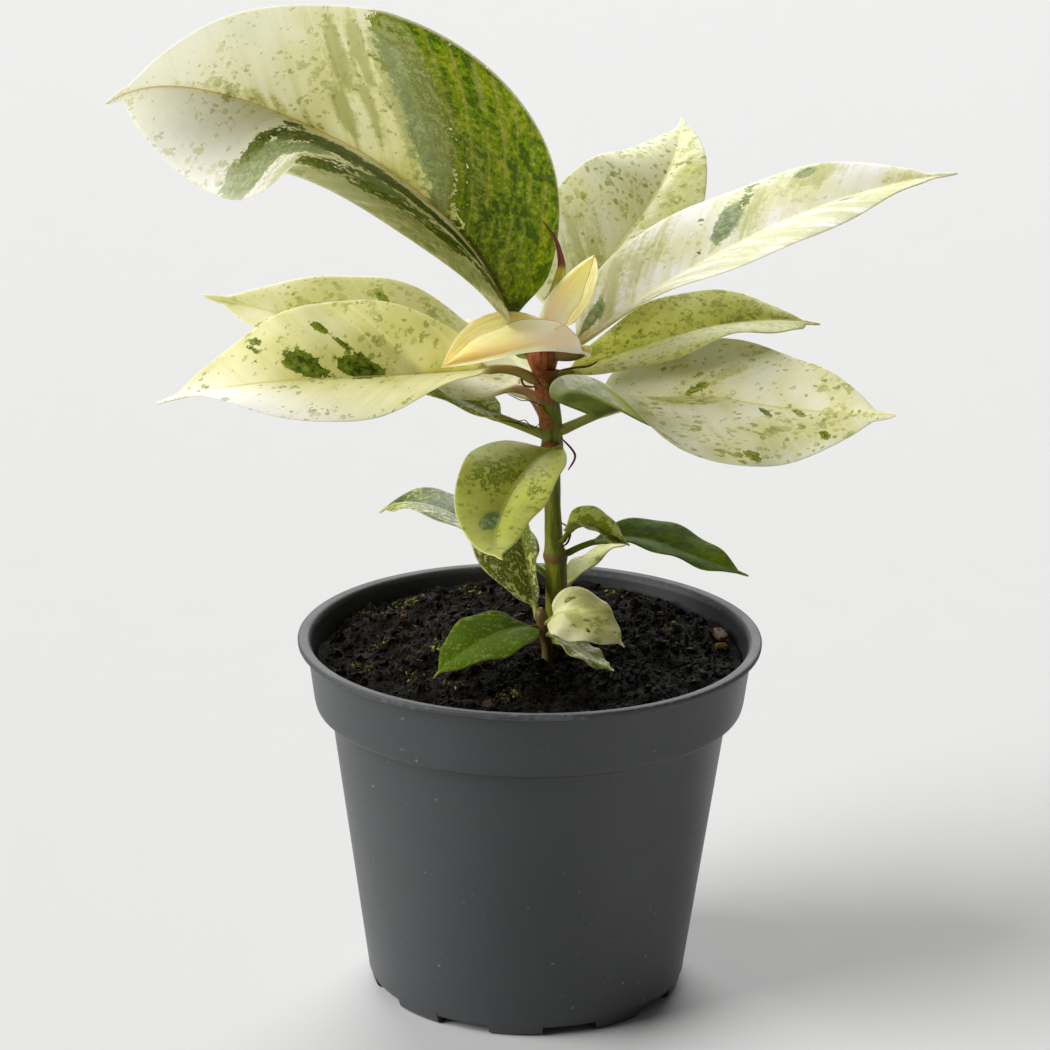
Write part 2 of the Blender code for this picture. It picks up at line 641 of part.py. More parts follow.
def main():
    """Build every piece under one empty."""
    clear_scene()
    plant = bpy.data.objects.new("plant", None)
    bpy.context.collection.objects.link(plant)
    build_pot(plant)
    build_soil(plant)
    build_stem("main_stem", "main", STEM_GREEN, plant)
    build_stem("side_shoot", "shoot", SHOOT_BROWN, plant)
    for leaf in LEAVES:
        build_leaf(leaf, plant)
    build_bud(plant)


main()
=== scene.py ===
"""Looks of the potted variegated rubber fig.

The young plant has broad leathery leaves marbled in cream and green on a short green stem, a thin
side shoot, an opening bud, and coarse dark soil in a grey nursery pot. Each leaf follows its own
midrib and carries its place along and across the blade as attributes, so that the mottling runs
along the side veins as on the real plant.
"""

import logging
import math
from dataclasses import dataclass, replace
from enum import Enum
from functools import lru_cache
from typing import Any, Callable, Optional, Sequence, Union

import bmesh
import bpy
import numpy as np
from mathutils import Matrix, Vector, noise

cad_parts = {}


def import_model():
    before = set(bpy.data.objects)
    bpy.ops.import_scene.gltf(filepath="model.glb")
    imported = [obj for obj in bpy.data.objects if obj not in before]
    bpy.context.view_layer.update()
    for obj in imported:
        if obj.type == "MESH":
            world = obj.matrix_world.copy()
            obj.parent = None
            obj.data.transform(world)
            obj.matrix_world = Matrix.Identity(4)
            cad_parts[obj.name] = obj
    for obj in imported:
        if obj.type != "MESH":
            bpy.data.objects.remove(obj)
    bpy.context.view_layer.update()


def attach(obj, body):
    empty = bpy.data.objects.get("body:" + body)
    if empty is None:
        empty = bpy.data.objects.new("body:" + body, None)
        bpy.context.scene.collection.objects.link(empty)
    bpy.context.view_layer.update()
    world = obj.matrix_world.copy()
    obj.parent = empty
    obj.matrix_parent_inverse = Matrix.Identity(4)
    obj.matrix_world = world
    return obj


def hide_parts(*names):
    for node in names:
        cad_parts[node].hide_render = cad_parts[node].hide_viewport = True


LOG = logging.getLogger("rubber fig")
BODY = "root"

Colour = tuple[float, float, float]
Point = tuple[float, float, float]
Number = Union["Value", float]
Setting = Union["Value", float, int, bool, tuple, bpy.types.ID]


def seen(red: int, green: int, blue: int) -> Colour:
    """Return the linear colour of a display colour.

    Args:
        red: Red from 0 to 255.
        green: Green from 0 to 255.
        blue: Blue from 0 to 255.

    Returns:
        The three linear values.
    """
    parts = (part / 255 for part in (red, green, blue))
    return tuple(part / 12.92 if part <= 0.04045 else ((part + 0.055) / 1.055) ** 2.4
                 for part in parts)


def opaque(colour: Setting) -> Setting:
    """Give a plain colour its alpha."""
    return (*colour, 1.0) if isinstance(colour, tuple) and len(colour) == 3 else colour


class Value:
    """One socket of a node tree that takes part in Python arithmetic."""

    def __init__(self, graph: "Graph", socket: Optional[bpy.types.NodeSocket]) -> None:
        """Keep the socket and the graph that it belongs to."""
        self.graph = graph
        self.socket = socket

    def __add__(self, other: Number) -> "Value":
        """Return the sum."""
        return self.graph.math("ADD", self, other)

    __radd__ = __add__

    def __sub__(self, other: Number) -> "Value":
        """Return the difference."""
        return self.graph.math("SUBTRACT", self, other)

    def __rsub__(self, other: Number) -> "Value":
        """Return the difference from another value."""
        return self.graph.math("SUBTRACT", other, self)

    def __mul__(self, other: Number) -> "Value":
        """Return the product."""
        return self.graph.math("MULTIPLY", self, other)

    __rmul__ = __mul__

    def __pow__(self, other: Number) -> "Value":
        """Return the power."""
        return self.graph.math("POWER", self, other)

    def __neg__(self) -> "Value":
        """Return the negative."""
        return self.graph.math("MULTIPLY", self, -1.0)

    def __abs__(self) -> "Value":
        """Return the absolute value."""
        return self.graph.math("ABSOLUTE", self)

    def between(self, low: float, high: float) -> "Value":
        """Return a smooth step from 0 at low to 1 at high."""
        return self.graph.node("ShaderNodeMapRange", {"interpolation_type": "SMOOTHSTEP"},
                               {"Value": self, "From Min": low, "From Max": high}, "Result")


class Graph:
    """Adds nodes to a node tree from Python values."""

    def __init__(self, tree: bpy.types.NodeTree) -> None:
        """Keep the tree."""
        self.tree = tree

    def node(self, kind: str, settings: Optional[dict[str, Any]] = None,
             values: Optional[dict[Union[str, int], Setting]] = None,
             output: Union[str, int] = 0) -> Value:
        """Add one node.

        Args:
            kind: The node's type.
            settings: Its properties, set first.
            values: What its inputs hold or link to, by identifier, name or index.
            output: The identifier, name or index of the output to return.

        Returns:
            The chosen output, with no socket if the node has none.
        """
        made = self.tree.nodes.new(kind)
        for name, setting in (settings or {}).items():
            setattr(made, name, setting)
        for name, value in (values or {}).items():
            socket = self._find(made.inputs, name)
            if isinstance(value, Value):
                self.tree.links.new(value.socket, socket)
            else:
                socket.default_value = value
        return Value(self, self._find(made.outputs, output) if len(made.outputs) else None)

    @staticmethod
    def _find(sockets: Any, name: Union[str, int]) -> bpy.types.NodeSocket:
        """Return a socket by index, identifier or name.

        Args:
            sockets: The inputs or the outputs of a node.
            name: The socket's index, identifier or name.

        Returns:
            The socket.
        """
        if isinstance(name, int):
            return sockets[name]
        for socket in sockets:
            if socket.identifier == name:
                return socket
        return sockets[name]

    def math(self, operation: str, *operands: Number) -> Value:
        """Add a Math node and return its result."""
        return self.node("ShaderNodeMath", {"operation": operation}, dict(enumerate(operands)))

    def mix(self, share: Number, first: Setting, second: Setting) -> Value:
        """Mix two colours.

        Args:
            share: How much of the second colour shows.
            first: The first colour.
            second: The second colour.

        Returns:
            The mixed colour.
        """
        values = {"Factor_Float": share, "A_Color": opaque(first), "B_Color": opaque(second)}
        return self.node("ShaderNodeMix", {"data_type": "RGBA"}, values, "Result_Color")

    def combine(self, x: Number, y: Number, z: Number) -> Value:
        """Return the vector of three values."""
        return self.node("ShaderNodeCombineXYZ", None, {"X": x, "Y": y, "Z": z})

    def split(self, vector: Value) -> tuple[Value, Value, Value]:
        """Return the three values of a vector.

        Args:
            vector: The vector.

        Returns:
            Its x, y and z.
        """
        first = self.node("ShaderNodeSeparateXYZ", None, {"Vector": vector})
        outputs = first.socket.node.outputs
        return first, Value(self, outputs[1]), Value(self, outputs[2])

    def noise(self, vector: Value, scale: float, detail: float = 2.0,
              roughness: float = 0.5) -> Value:
        """Return a noise from 0 to 1 around 0.5."""
        values = {"Vector": vector, "Scale": scale, "Detail": detail, "Roughness": roughness}
        return self.node("ShaderNodeTexNoise", None, values, "Fac")

    def noise_of(self, x: Number, y: Number, z: Number, detail: float = 2.0,
                 roughness: float = 0.5) -> Value:
        """Return a noise from 0 to 1 around 0.5 at three values."""
        return self.noise(self.combine(x, y, z), 1.0, detail, roughness)


class Surface(Graph):
    """A material under construction, with its Principled shader."""

    def __init__(self, name: str) -> None:
        """Make an empty material.

        Args:
            name: The material's name.
        """
        self.material = bpy.data.materials.new(name)
        self.material.use_nodes = True
        super().__init__(self.material.node_tree)
        self.tree.nodes.clear()

    def attribute(self, name: str) -> Value:
        """Return a vector attribute of the mesh."""
        settings = {"attribute_type": "GEOMETRY", "attribute_name": name}
        return self.node("ShaderNodeAttribute", settings, None, "Vector")

    def place(self) -> Value:
        """Return the place on the piece in metres."""
        return self.node("ShaderNodeTexCoord", None, None, "Object")

    def finish(self, colour: Setting, roughness: Number, height: Optional[Value] = None,
               depth: float = 0.0, **uniform: Any) -> bpy.types.Material:
        """Connect the shader.

        Args:
            colour: The base colour.
            roughness: The roughness.
            height: A relief from 0 to 1.
            depth: How deep the relief is, in metres.
            **uniform: Other shader inputs that are the same everywhere, such as coat_weight.

        Returns:
            The finished material.
        """
        values = {"Base Color": opaque(colour), "Roughness": roughness}
        if height is not None:
            values["Normal"] = self.node("ShaderNodeBump", None,
                                         {"Height": height, "Distance": depth})
        for name, value in uniform.items():
            values[name.replace("_", " ").title().replace("Ior", "IOR")] = value
        shader = self.node("ShaderNodeBsdfPrincipled", None, values, "BSDF")
        self.node("ShaderNodeOutputMaterial", None, {"Surface": shader})
        return self.material


@lru_cache(maxsize=None)
def material_of(finish: Any) -> bpy.types.Material:
    """Return a finish's material, built the first time it is asked for."""
    return finish.material()


def placed(name: str, data: bpy.types.ID) -> bpy.types.Object:
    """Return a new object at the origin that shows the data.

    Args:
        name: The object's name.
        data: The mesh, curve, light or camera.

    Returns:
        The linked object.
    """
    made = bpy.data.objects.new(name, data)
    bpy.context.scene.collection.objects.link(made)
    return made


def plain_mesh(name: str, points: Sequence[Point],
               faces: Sequence[Sequence[int]]) -> bpy.types.Mesh:
    """Return a mesh of points and faces.

    Args:
        name: The mesh's name.
        points: The vertices, in metres.
        faces: The faces, by vertex number.

    Returns:
        The mesh.
    """
    mesh = bpy.data.meshes.new(name)
    mesh.from_pydata(points, [], faces)
    return mesh


def add_mesh(name: str, points: np.ndarray, faces: Sequence[Sequence[int]],
             material: bpy.types.Material, fields: Optional[dict[str, np.ndarray]] = None,
             crease: float = 50.0) -> bpy.types.Object:
    """Make a smooth closed mesh object at the origin.

    Args:
        name: The object's name.
        points: The vertices, in metres.
        faces: The faces, by vertex number.
        material: The material.
        fields: Vector attributes of the vertices.
        crease: The angle past which an edge is sharp, in degrees.

    Returns:
        The linked object.
    """
    mesh = plain_mesh(name, np.asarray(points).tolist(), faces)
    for label, values in (fields or {}).items():
        layer = mesh.attributes.new(label, "FLOAT_VECTOR", "POINT")
        layer.data.foreach_set("vector", np.asarray(values, np.float32).ravel())
    shape = bmesh.new()
    shape.from_mesh(mesh)
    bmesh.ops.recalc_face_normals(shape, faces=shape.faces)
    if shape.calc_volume(signed=True) < 0:
        bmesh.ops.reverse_faces(shape, faces=shape.faces)
    shape.to_mesh(mesh)
    shape.free()
    mesh.materials.append(material)
    mesh.shade_smooth()
    mesh.set_sharp_from_angle(angle=math.radians(crease))
    return placed(name, mesh)


def tube_faces(rings: int, count: int) -> list[tuple[int, ...]]:
    """Return the faces of a closed tube of rings, capped at both ends.

    Args:
        rings: How many rings there are.
        count: How many points a ring has.

    Returns:
        The faces, by point number.
    """
    faces = []
    for ring in range(rings - 1):
        low = ring * count
        for i in range(count):
            j = (i + 1) % count
            faces.append((low + i, low + j, low + count + j, low + count + i))
    faces.append(tuple(reversed(range(count))))
    faces.append(tuple(range((rings - 1) * count, rings * count)))
    return faces


def belong(piece: bpy.types.Object, slot: str, *nodes: str) -> bpy.types.Object:
    """Fix a piece to the plant's one body and hide the solids that it replaces.

    Args:
        piece: The finished piece.
        slot: A material slot's name; it is not used.
        *nodes: The solids that it replaces.

    Returns:
        The piece.
    """
    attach(piece, BODY)
    if nodes:
        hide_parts(*nodes)
    LOG.info("%s: %d faces", piece.name, len(piece.data.polygons))
    return piece


class Pattern(Graph):
    """A Geometry Nodes tree with named inputs, run once to give a plain mesh."""

    def __init__(self, name: str, numbers: dict[str, float]) -> None:
        """Make a tree that takes geometry, the named numbers and a material.

        Args:
            name: The tree's name.
            numbers: The named inputs and their usual values.
        """
        tree = bpy.data.node_groups.new(name, "GeometryNodeTree")
        super().__init__(tree)
        tree.interface.new_socket("Geometry", in_out="INPUT", socket_type="NodeSocketGeometry")
        for label, value in numbers.items():
            kind = "NodeSocketInt" if isinstance(value, int) else "NodeSocketFloat"
            tree.interface.new_socket(label, in_out="INPUT", socket_type=kind)
        tree.interface.new_socket("Material", in_out="INPUT", socket_type="NodeSocketMaterial")
        tree.interface.new_socket("Geometry", in_out="OUTPUT", socket_type="NodeSocketGeometry")
        self.numbers = numbers
        self.entry = self.node("NodeGroupInput").socket.node

    def given(self, name: str) -> Value:
        """Return one of the tree's inputs."""
        return Value(self, self.entry.outputs[name])

    def random(self, kind: str, low: Setting, high: Setting, seed: int) -> Value:
        """Return a random value for each element.

        Args:
            kind: FLOAT or FLOAT_VECTOR.
            low: The least value.
            high: The greatest value.
            seed: A fixed seed.

        Returns:
            The random value.
        """
        suffix = "_001" if kind == "FLOAT" else ""
        names = {"Min" + suffix: low, "Max" + suffix: high, "Seed": seed}
        return self.node("FunctionNodeRandomValue", {"data_type": kind}, names, "Value" + suffix)

    def scatter(self, shape: Value, rotation: Value, scale: Value, most: float, seed: int) -> Value:
        """Place copies of a shape over the given geometry, each with numbers of its own.

        Args:
            shape: The shape.
            rotation: How each copy is turned.
            scale: How large each copy is.
            most: The greatest number of copies on a square metre.
            seed: The fixed seed of the numbers.

        Returns:
            The copies.
        """
        points = self.node("GeometryNodeDistributePointsOnFaces", {"distribute_method": "POISSON"},
                           {"Mesh": self.given("Geometry"), "Distance Min": self.given("Spacing"),
                            "Density Max": most, "Seed": self.given("Seed")}, "Points")
        copies = self.node("GeometryNodeInstanceOnPoints", None,
                           {"Points": points, "Instance": shape, "Rotation": rotation,
                            "Scale": scale})
        own = self.random("FLOAT_VECTOR", (0.0, 0.0, 0.0), (1.0, 1.0, 1.0), seed)
        return self.node("GeometryNodeStoreNamedAttribute",
                         {"data_type": "FLOAT_VECTOR", "domain": "INSTANCE"},
                         {"Geometry": copies, "Name": "crumb", "Value": own})

    def end(self, geometry: Value, smooth: bool = True) -> None:
        """Realize the copies, give them the material and close the tree.

        Args:
            geometry: The copies or the mesh.
            smooth: Whether its faces are shaded smoothly.
        """
        real = self.node("GeometryNodeRealizeInstances", None, {"Geometry": geometry})
        shaded = self.node("GeometryNodeSetShadeSmooth", None,
                           {"Geometry": real, "Shade Smooth": smooth})
        done = self.node("GeometryNodeSetMaterial", None,
                         {"Geometry": shaded, "Material": self.given("Material")})
        self.node("NodeGroupOutput", None, {"Geometry": done})

    def run(self, name: str, carrier: bpy.types.Object, material: bpy.types.Material,
            **numbers: float) -> bpy.types.Object:
        """Run the tree on a carrier and keep only the mesh that it makes.

        Args:
            name: The new piece's name.
            carrier: The object that the pattern covers; it is removed.
            material: The material of the pattern.
            **numbers: Inputs that differ from the tree's own values, by name in lower case.

        Returns:
            The new piece.
        """
        values = {label: numbers.get(label.lower(), value) for label, value in self.numbers.items()}
        values["Material"] = material
        modifier = carrier.modifiers.new(name, "NODES")
        modifier.node_group = self.tree
        for item in self.tree.interface.items_tree:
            if item.in_out == "INPUT" and item.name in values:
                modifier[item.identifier] = values[item.name]
        shown = carrier.evaluated_get(bpy.context.evaluated_depsgraph_get())
        mesh = bpy.data.meshes.new_from_object(shown)
        mesh.name = name
        carrier.modifiers.remove(modifier)
        bpy.data.objects.remove(carrier, do_unlink=True)
        return placed(name, mesh)


class Tone(Enum):
    """The tones that a mark on a leaf can have."""

    GREEN = 0
    GREY = 1
    OLIVE = 2


@dataclass(frozen=True)
class Mark:
    """One patch of a tone on a leaf.

    Its place along the leaf is where the side vein through it leaves the midrib, as a share of the
    blade's length; its place across runs from -1 at the right margin to 1 at the left.
    """

    tone: Tone
    along: float
    across: float
    length: float
    width: float
    strength: float = 1.0

    def level(self, along: np.ndarray, across: np.ndarray) -> np.ndarray:
        """Return how strong the mark is at each point, one half at its edge.

        Args:
            along: Where the side vein of each point leaves the midrib.
            across: The place of each point across the blade.

        Returns:
            The level of each point.
        """
        distance = np.hypot((along - self.along) / self.length, (across - self.across) / self.width)
        return self.strength * np.exp(-math.log(2) * distance ** 3)


def patches(**tones: Sequence[tuple[float, ...]]) -> tuple[Mark, ...]:
    """Return a leaf's marks from their numbers, grouped by the name of their tone."""
    return tuple(Mark(Tone[name.upper()], *numbers) for name, group in tones.items()
                 for numbers in group)


@dataclass(frozen=True)
class LeafFinish:
    """The colours of one kind of leaf and how far its green spreads by itself."""

    name: str
    cream: Colour = seen(242, 236, 190)
    wash: Colour = seen(190, 188, 120)
    wash_share: float = 0.8
    white: Colour = seen(255, 247, 222)
    white_from: float = 2.0
    white_side: float = 0.15
    green: Colour = seen(96, 112, 6)
    dark: Colour = seen(54, 70, 0)
    bright: Colour = seen(158, 160, 74)
    olive: Colour = seen(128, 132, 66)
    bright_share: float = 0.8
    veil: Colour = seen(86, 100, 42)
    pale_veil: Colour = seen(146, 152, 94)
    grey: Colour = seen(72, 94, 48)
    pale_grey: Colour = seen(126, 142, 98)
    spread: float = -0.05
    flecks: float = 0.8
    midrib: Colour = seen(206, 196, 128)
    petiole: Colour = seen(140, 152, 66)
    under: Colour = seen(150, 160, 96)
    under_share: float = 0.6
    margin: Colour = seen(212, 198, 160)
    roughness: float = 0.48
    shine: float = 0.2
    glow: float = 0.7
    streaks: float = 0.55
    density: float = 0.0
    vein_gap: float = 0.0046

    def material(self) -> bpy.types.Material:
        """Build the leaf's material: mottling along the veins, midrib, margin and petiole.

        Returns:
            The material.
        """
        leaf = Surface(self.name)
        along, across, side = leaf.split(leaf.attribute("leaf_place"))
        vein, reach, seed = leaf.split(leaf.attribute("leaf_vein"))
        green, grey, olive = leaf.split(leaf.attribute("leaf_marks"))
        axis = vein + abs(reach) * Leaf.vein_slope
        cloud = leaf.noise_of(axis * 55.0, reach * 50.0, seed)
        band = leaf.noise_of(vein * 230.0, reach * 24.0, seed + 6.0, 2.0, 0.6)
        blot = leaf.noise_of(vein * 270.0, reach * 180.0, seed + 4.0, 3.0, 0.6)
        lace = leaf.noise_of(axis * 640.0 + band * 2.0, reach * 640.0, seed + 9.0, 4.0, 0.7)
        grain = leaf.noise_of(axis * 2400.0, reach * 2400.0, seed, 2.0, 0.6)
        wave = leaf.math("SINE", vein * (math.tau / self.vein_gap) + band * 5.0)
        ribs = (wave * 0.5 + 0.5) ** 10.0

        # The ground: washed along the veins, whiter toward the tip, then flecked.
        body = leaf.mix(cloud.between(0.34, 0.66) * self.wash_share, self.cream, self.wash)
        body = leaf.mix(band.between(0.44, 0.62) * self.streaks * self.wash_share, body, self.wash)
        body = leaf.mix(ribs * band.between(0.35, 0.6) * 0.35, body, self.cream)
        body = leaf.mix(grain.between(0.55, 0.75) * 0.25, body, self.wash)
        white = along + across * self.white_side + (cloud - 0.5) * 0.2
        white = white.between(self.white_from, self.white_from + 0.45) * 0.9
        body = leaf.mix(white, body, self.white)
        broken = (lace - 0.5) * 1.3 + (blot - 0.5) * 0.9
        soft = (olive + broken * 0.8 + (band - 0.5) * 1.4).between(0.20, 0.75)
        body = leaf.mix(soft * 0.6, body, leaf.mix(lace.between(0.4, 0.6), self.olive, self.bright))
        flecks = self._flecks(leaf, axis, reach, seed, cloud, lace) * self.flecks
        body = leaf.mix(flecks, body, leaf.mix(blot.between(0.40, 0.60), self.green, self.bright))

        # The patches: green broken by darker and brighter lace, or veiled with grey.
        tone = blot * 0.40 + lace * 0.60
        shade = leaf.mix(tone.between(0.44, 0.50), self.dark, self.green)
        shade = leaf.mix(tone.between(0.53, 0.59) * self.bright_share, shade, self.bright)
        veiled = (grey + (band - 0.5) * 1.6 + (lace - 0.5) * 0.4).between(0.45, 0.85) * 0.9
        veil = leaf.mix(tone.between(0.44, 0.60), self.veil, self.pale_veil)
        shade = leaf.mix(veiled, shade, veil)
        shade = leaf.mix(ribs * blot.between(0.35, 0.6) * 0.07, shade, self.wash)
        stone = leaf.mix(lace.between(0.42, 0.60), self.grey, self.pale_grey)
        body = leaf.mix((grey + broken * 0.8).between(0.40, 0.62) * 0.9, body, stone)
        body = leaf.mix((green + self.spread + broken * 1.2).between(0.43, 0.55), body, shade)

        # The lower face, the midrib, the margin and the petiole.
        below = (-side).between(-0.2, 0.8)
        body = leaf.mix(below * self.under_share, body, self.under)
        rib = 1.0 - (abs(reach) * (1.0 + along * 1.4)).between(0.00025, 0.0009)
        body = leaf.mix(rib * (0.6 + below * 0.3), body, self.midrib)
        body = leaf.mix(abs(across).between(0.975, 0.995) * 0.25, body, self.margin)
        body = leaf.mix((-along).between(-0.045, 0.01), body, self.petiole)
        gloss = self.roughness + (grain - 0.5) * 0.12 + (lace - 0.5) * 0.1 + below * 0.14
        relief = ribs * 0.06 + lace * 0.25 + grain * 0.25 + rib * 0.4
        return leaf.finish(body, gloss, relief, 0.0002, specular_ior_level=self.shine,
                           subsurface_weight=self.glow, subsurface_scale=0.003,
                           subsurface_radius=(1.0, 1.0, 0.7))

    def _flecks(self, leaf: Surface, axis: Value, reach: Value, seed: Value, cloud: Value,
                lace: Value) -> Value:
        """Return where small and larger green flecks lie, crowded in some places.

        Args:
            leaf: The material under construction.
            axis: The distance along the midrib.
            reach: The distance from the midrib.
            seed: The leaf's own number.
            cloud: A broad noise that crowds the flecks.
            lace: A fine noise that breaks their edges.

        Returns:
            1 on a fleck and 0 elsewhere.
        """
        found = []
        for scale, size in ((540.0, 0.42), (270.0, 0.38)):
            bent = leaf.combine(axis * scale + (lace - 0.5) * 1.8,
                                reach * scale + (cloud + lace) * 1.5, seed + scale)
            spot = leaf.node("ShaderNodeTexVoronoi", None, {"Vector": bent, "Scale": 1.0},
                             "Distance")
            own, other, _ = leaf.split(Value(leaf, spot.socket.node.outputs["Color"]))
            grown = own * size + (cloud - 0.5) * 1.3 + (lace - 0.5) * 0.9 - spot
            grown = grown + self.density - 0.02
            found.append(grown.between(-0.02, 0.12) * (0.45 + other * 0.55))
        return leaf.math("MAXIMUM", *found)


@dataclass(frozen=True)
class ScaleFinish:
    """The papery skin of an open bud scale: striped orange inside and pale yellow outside."""

    name: str
    bright: Colour = seen(248, 222, 122)
    deep: Colour = seen(234, 182, 80)
    pale: Colour = seen(250, 240, 170)
    white: Colour = seen(252, 248, 226)
    yellow: Colour = seen(244, 226, 108)
    freckle: Colour = seen(176, 176, 70)
    rim: Colour = seen(168, 92, 52)

    def material(self) -> bpy.types.Material:
        """Build the scale's material: fine stripes that run from its foot to its tip, and a faint
        painted glow in its own colour.

        Returns:
            The material.
        """
        scale = Surface(self.name)
        along, across, side = scale.split(scale.attribute("leaf_place"))
        vein, reach, seed = scale.split(scale.attribute("leaf_vein"))
        cloud = scale.noise_of(along * 5.0, reach * 200.0, seed)
        stripe = scale.noise_of(along * 3.0, across * 16.0, seed, 3.0, 0.6)
        grain = scale.noise_of(vein * 1500.0, reach * 1500.0, seed, 2.0, 0.6)
        inner = scale.mix(stripe.between(0.38, 0.66), self.bright, self.deep)
        inner = scale.mix(cloud.between(0.50, 0.75) * 0.5, inner, self.pale)
        outer = scale.mix(stripe.between(0.42, 0.70) * 0.45, self.pale, self.bright)
        yellow = along + (cloud - 0.5) * 0.8 + (stripe - 0.5) * 0.5
        outer = scale.mix(yellow.between(0.3, 0.85) * 0.85, outer, self.yellow)
        outer = scale.mix((1.0 - along.between(0.05, 0.5)) * 0.85, outer, self.white)
        fleck = (grain * 0.6 + cloud * 0.4).between(0.56, 0.62) * (1.0 - along.between(0.15, 0.3))
        outer = scale.mix(fleck * 0.6, outer, self.freckle)
        face = scale.mix(side.between(-0.4, 0.4), outer, inner)
        face = scale.mix(abs(across).between(0.955, 0.995) * 0.7, face, self.rim)
        face = scale.mix(along.between(0.85, 1.0) * 0.4, face, self.deep)
        face = scale.mix((1.0 - abs(reach).between(0.0002, 0.0009)) * 0.35, face, self.pale)
        # The faint emission in the scale's own colour is painted light that lifts its shaded faces.
        return scale.finish(face, 0.42 + (grain - 0.5) * 0.2, stripe * 0.6 + grain * 0.4, 0.00015,
                            specular_ior_level=0.2, subsurface_weight=0.9, subsurface_scale=0.004,
                            subsurface_radius=(1.0, 1.0, 0.75), emission_color=face,
                            emission_strength=0.15)


IVORY = LeafFinish("ivory leaf", cream=seen(238, 235, 220), wash=seen(212, 208, 160),
                   wash_share=1.0, spread=-0.15, flecks=0.4, midrib=seen(232, 224, 170),
                   under=seen(206, 204, 140), under_share=0.5, green=seen(96, 112, 30),
                   petiole=seen(196, 192, 104))
LEMON = LeafFinish("lemon leaf", midrib=seen(186, 146, 72), flecks=0.55, white_from=0.42,
                   white_side=0.1, green=seen(50, 68, 0), dark=seen(26, 38, 0),
                   bright=seen(96, 110, 16), veil=seen(50, 66, 20), pale_veil=seen(108, 118, 62),
                   olive=seen(114, 118, 54))
LEMON_FRONT = replace(LEMON, name="lemon front leaf", cream=seen(224, 218, 160),
                      wash=seen(174, 170, 86), spread=-0.08, flecks=0.75, white_side=0.3,
                      white_from=0.5, midrib=seen(190, 182, 104), petiole=seen(142, 122, 58),
                      streaks=0.2, green=seen(68, 86, 6), bright=seen(104, 118, 30))
FLECKED = replace(IVORY, name="flecked leaf", cream=seen(228, 226, 192), wash=seen(206, 204, 152),
                  spread=0.0, flecks=0.9, green=seen(108, 120, 34), streaks=0.25, density=0.06)
CREAMY = LeafFinish("creamy leaf", cream=seen(234, 230, 196), wash=seen(196, 192, 126), spread=0.0,
                    flecks=0.85, green=seen(100, 110, 26), under=seen(84, 98, 34), under_share=0.92,
                    petiole=seen(140, 142, 66), streaks=0.15, density=0.04)
MINT = LeafFinish("mint leaf", cream=seen(218, 214, 166), wash=seen(186, 182, 108), spread=0.02,
                  petiole=seen(154, 114, 72), flecks=0.9, green=seen(104, 120, 30), streaks=0.2)
LIME = LeafFinish("lime leaf", cream=seen(204, 206, 112), wash=seen(170, 174, 60), wash_share=1.0,
                  green=seen(98, 114, 14), dark=seen(78, 96, 6), bright=seen(150, 156, 46),
                  spread=0.34, midrib=seen(172, 174, 72), under=seen(176, 180, 98), under_share=0.7,
                  petiole=seen(150, 156, 68), streaks=0.3, flecks=0.9, density=0.16)
LIME_FRONT = replace(LIME, name="lime front leaf", spread=-0.02, flecks=0.95,
                     cream=seen(164, 168, 74), wash=seen(136, 142, 42), green=seen(92, 106, 14),
                     dark=seen(76, 92, 8), bright=seen(132, 140, 48), midrib=seen(140, 142, 60),
                     density=0.1)
MARBLE = LeafFinish("marbled leaf", cream=seen(206, 204, 142), wash=seen(166, 168, 74),
                    green=seen(76, 92, 14), dark=seen(44, 62, 4), spread=0.6,
                    midrib=seen(196, 192, 118), under=seen(150, 158, 80))
DARK = LeafFinish("dark leaf", cream=seen(96, 114, 20), wash=seen(82, 100, 10),
                  green=seen(74, 94, 4), dark=seen(54, 74, 0), bright=seen(94, 112, 16),
                  spread=0.85, flecks=0.15, midrib=seen(100, 112, 38), under=seen(98, 112, 42),
                  under_share=0.7, margin=seen(104, 96, 40), petiole=seen(90, 100, 26),
                  roughness=0.6, shine=0.03, glow=0.4)
DARK_SHOOT = replace(DARK, name="green shoot leaf", cream=seen(104, 122, 40),
                     wash=seen(82, 100, 22), green=seen(66, 86, 10), dark=seen(50, 68, 4),
                     bright=seen(96, 114, 30), spread=0.62, margin=seen(128, 76, 44))
DARK_FOLDED = replace(DARK, name="green folded leaf", cream=seen(168, 174, 96),
                      wash=seen(138, 146, 62), green=seen(92, 108, 22), dark=seen(70, 86, 10),
                      spread=0.45, under=seen(146, 154, 84), margin=seen(176, 180, 116))
CREAMY_SMALL = replace(CREAMY, name="creamy small leaf", cream=seen(228, 224, 164), wash_share=1.0,
                       wash=seen(186, 184, 104), flecks=1.0, spread=0.05, under=seen(200, 206, 136),
                       under_share=0.5)


class Stem(Enum):
    """The stems that a leaf can stand on, by their solids' names."""

    MAIN = "main_stem"
    SHOOT = "side_shoot"

    def at(self, height: Union[float, np.ndarray]) -> tuple[Any, Any, float]:
        """Return the stem's radius and its centre's x and y at a height or at many.

        Args:
            height: The height, in metres.

        Returns:
            The radius, x and y.
        """
        depth, nodes = STEM_PATHS[self]
        heights, offsets, radii = zip(*nodes)
        return np.interp(height, heights, radii), np.interp(height, heights, offsets), depth


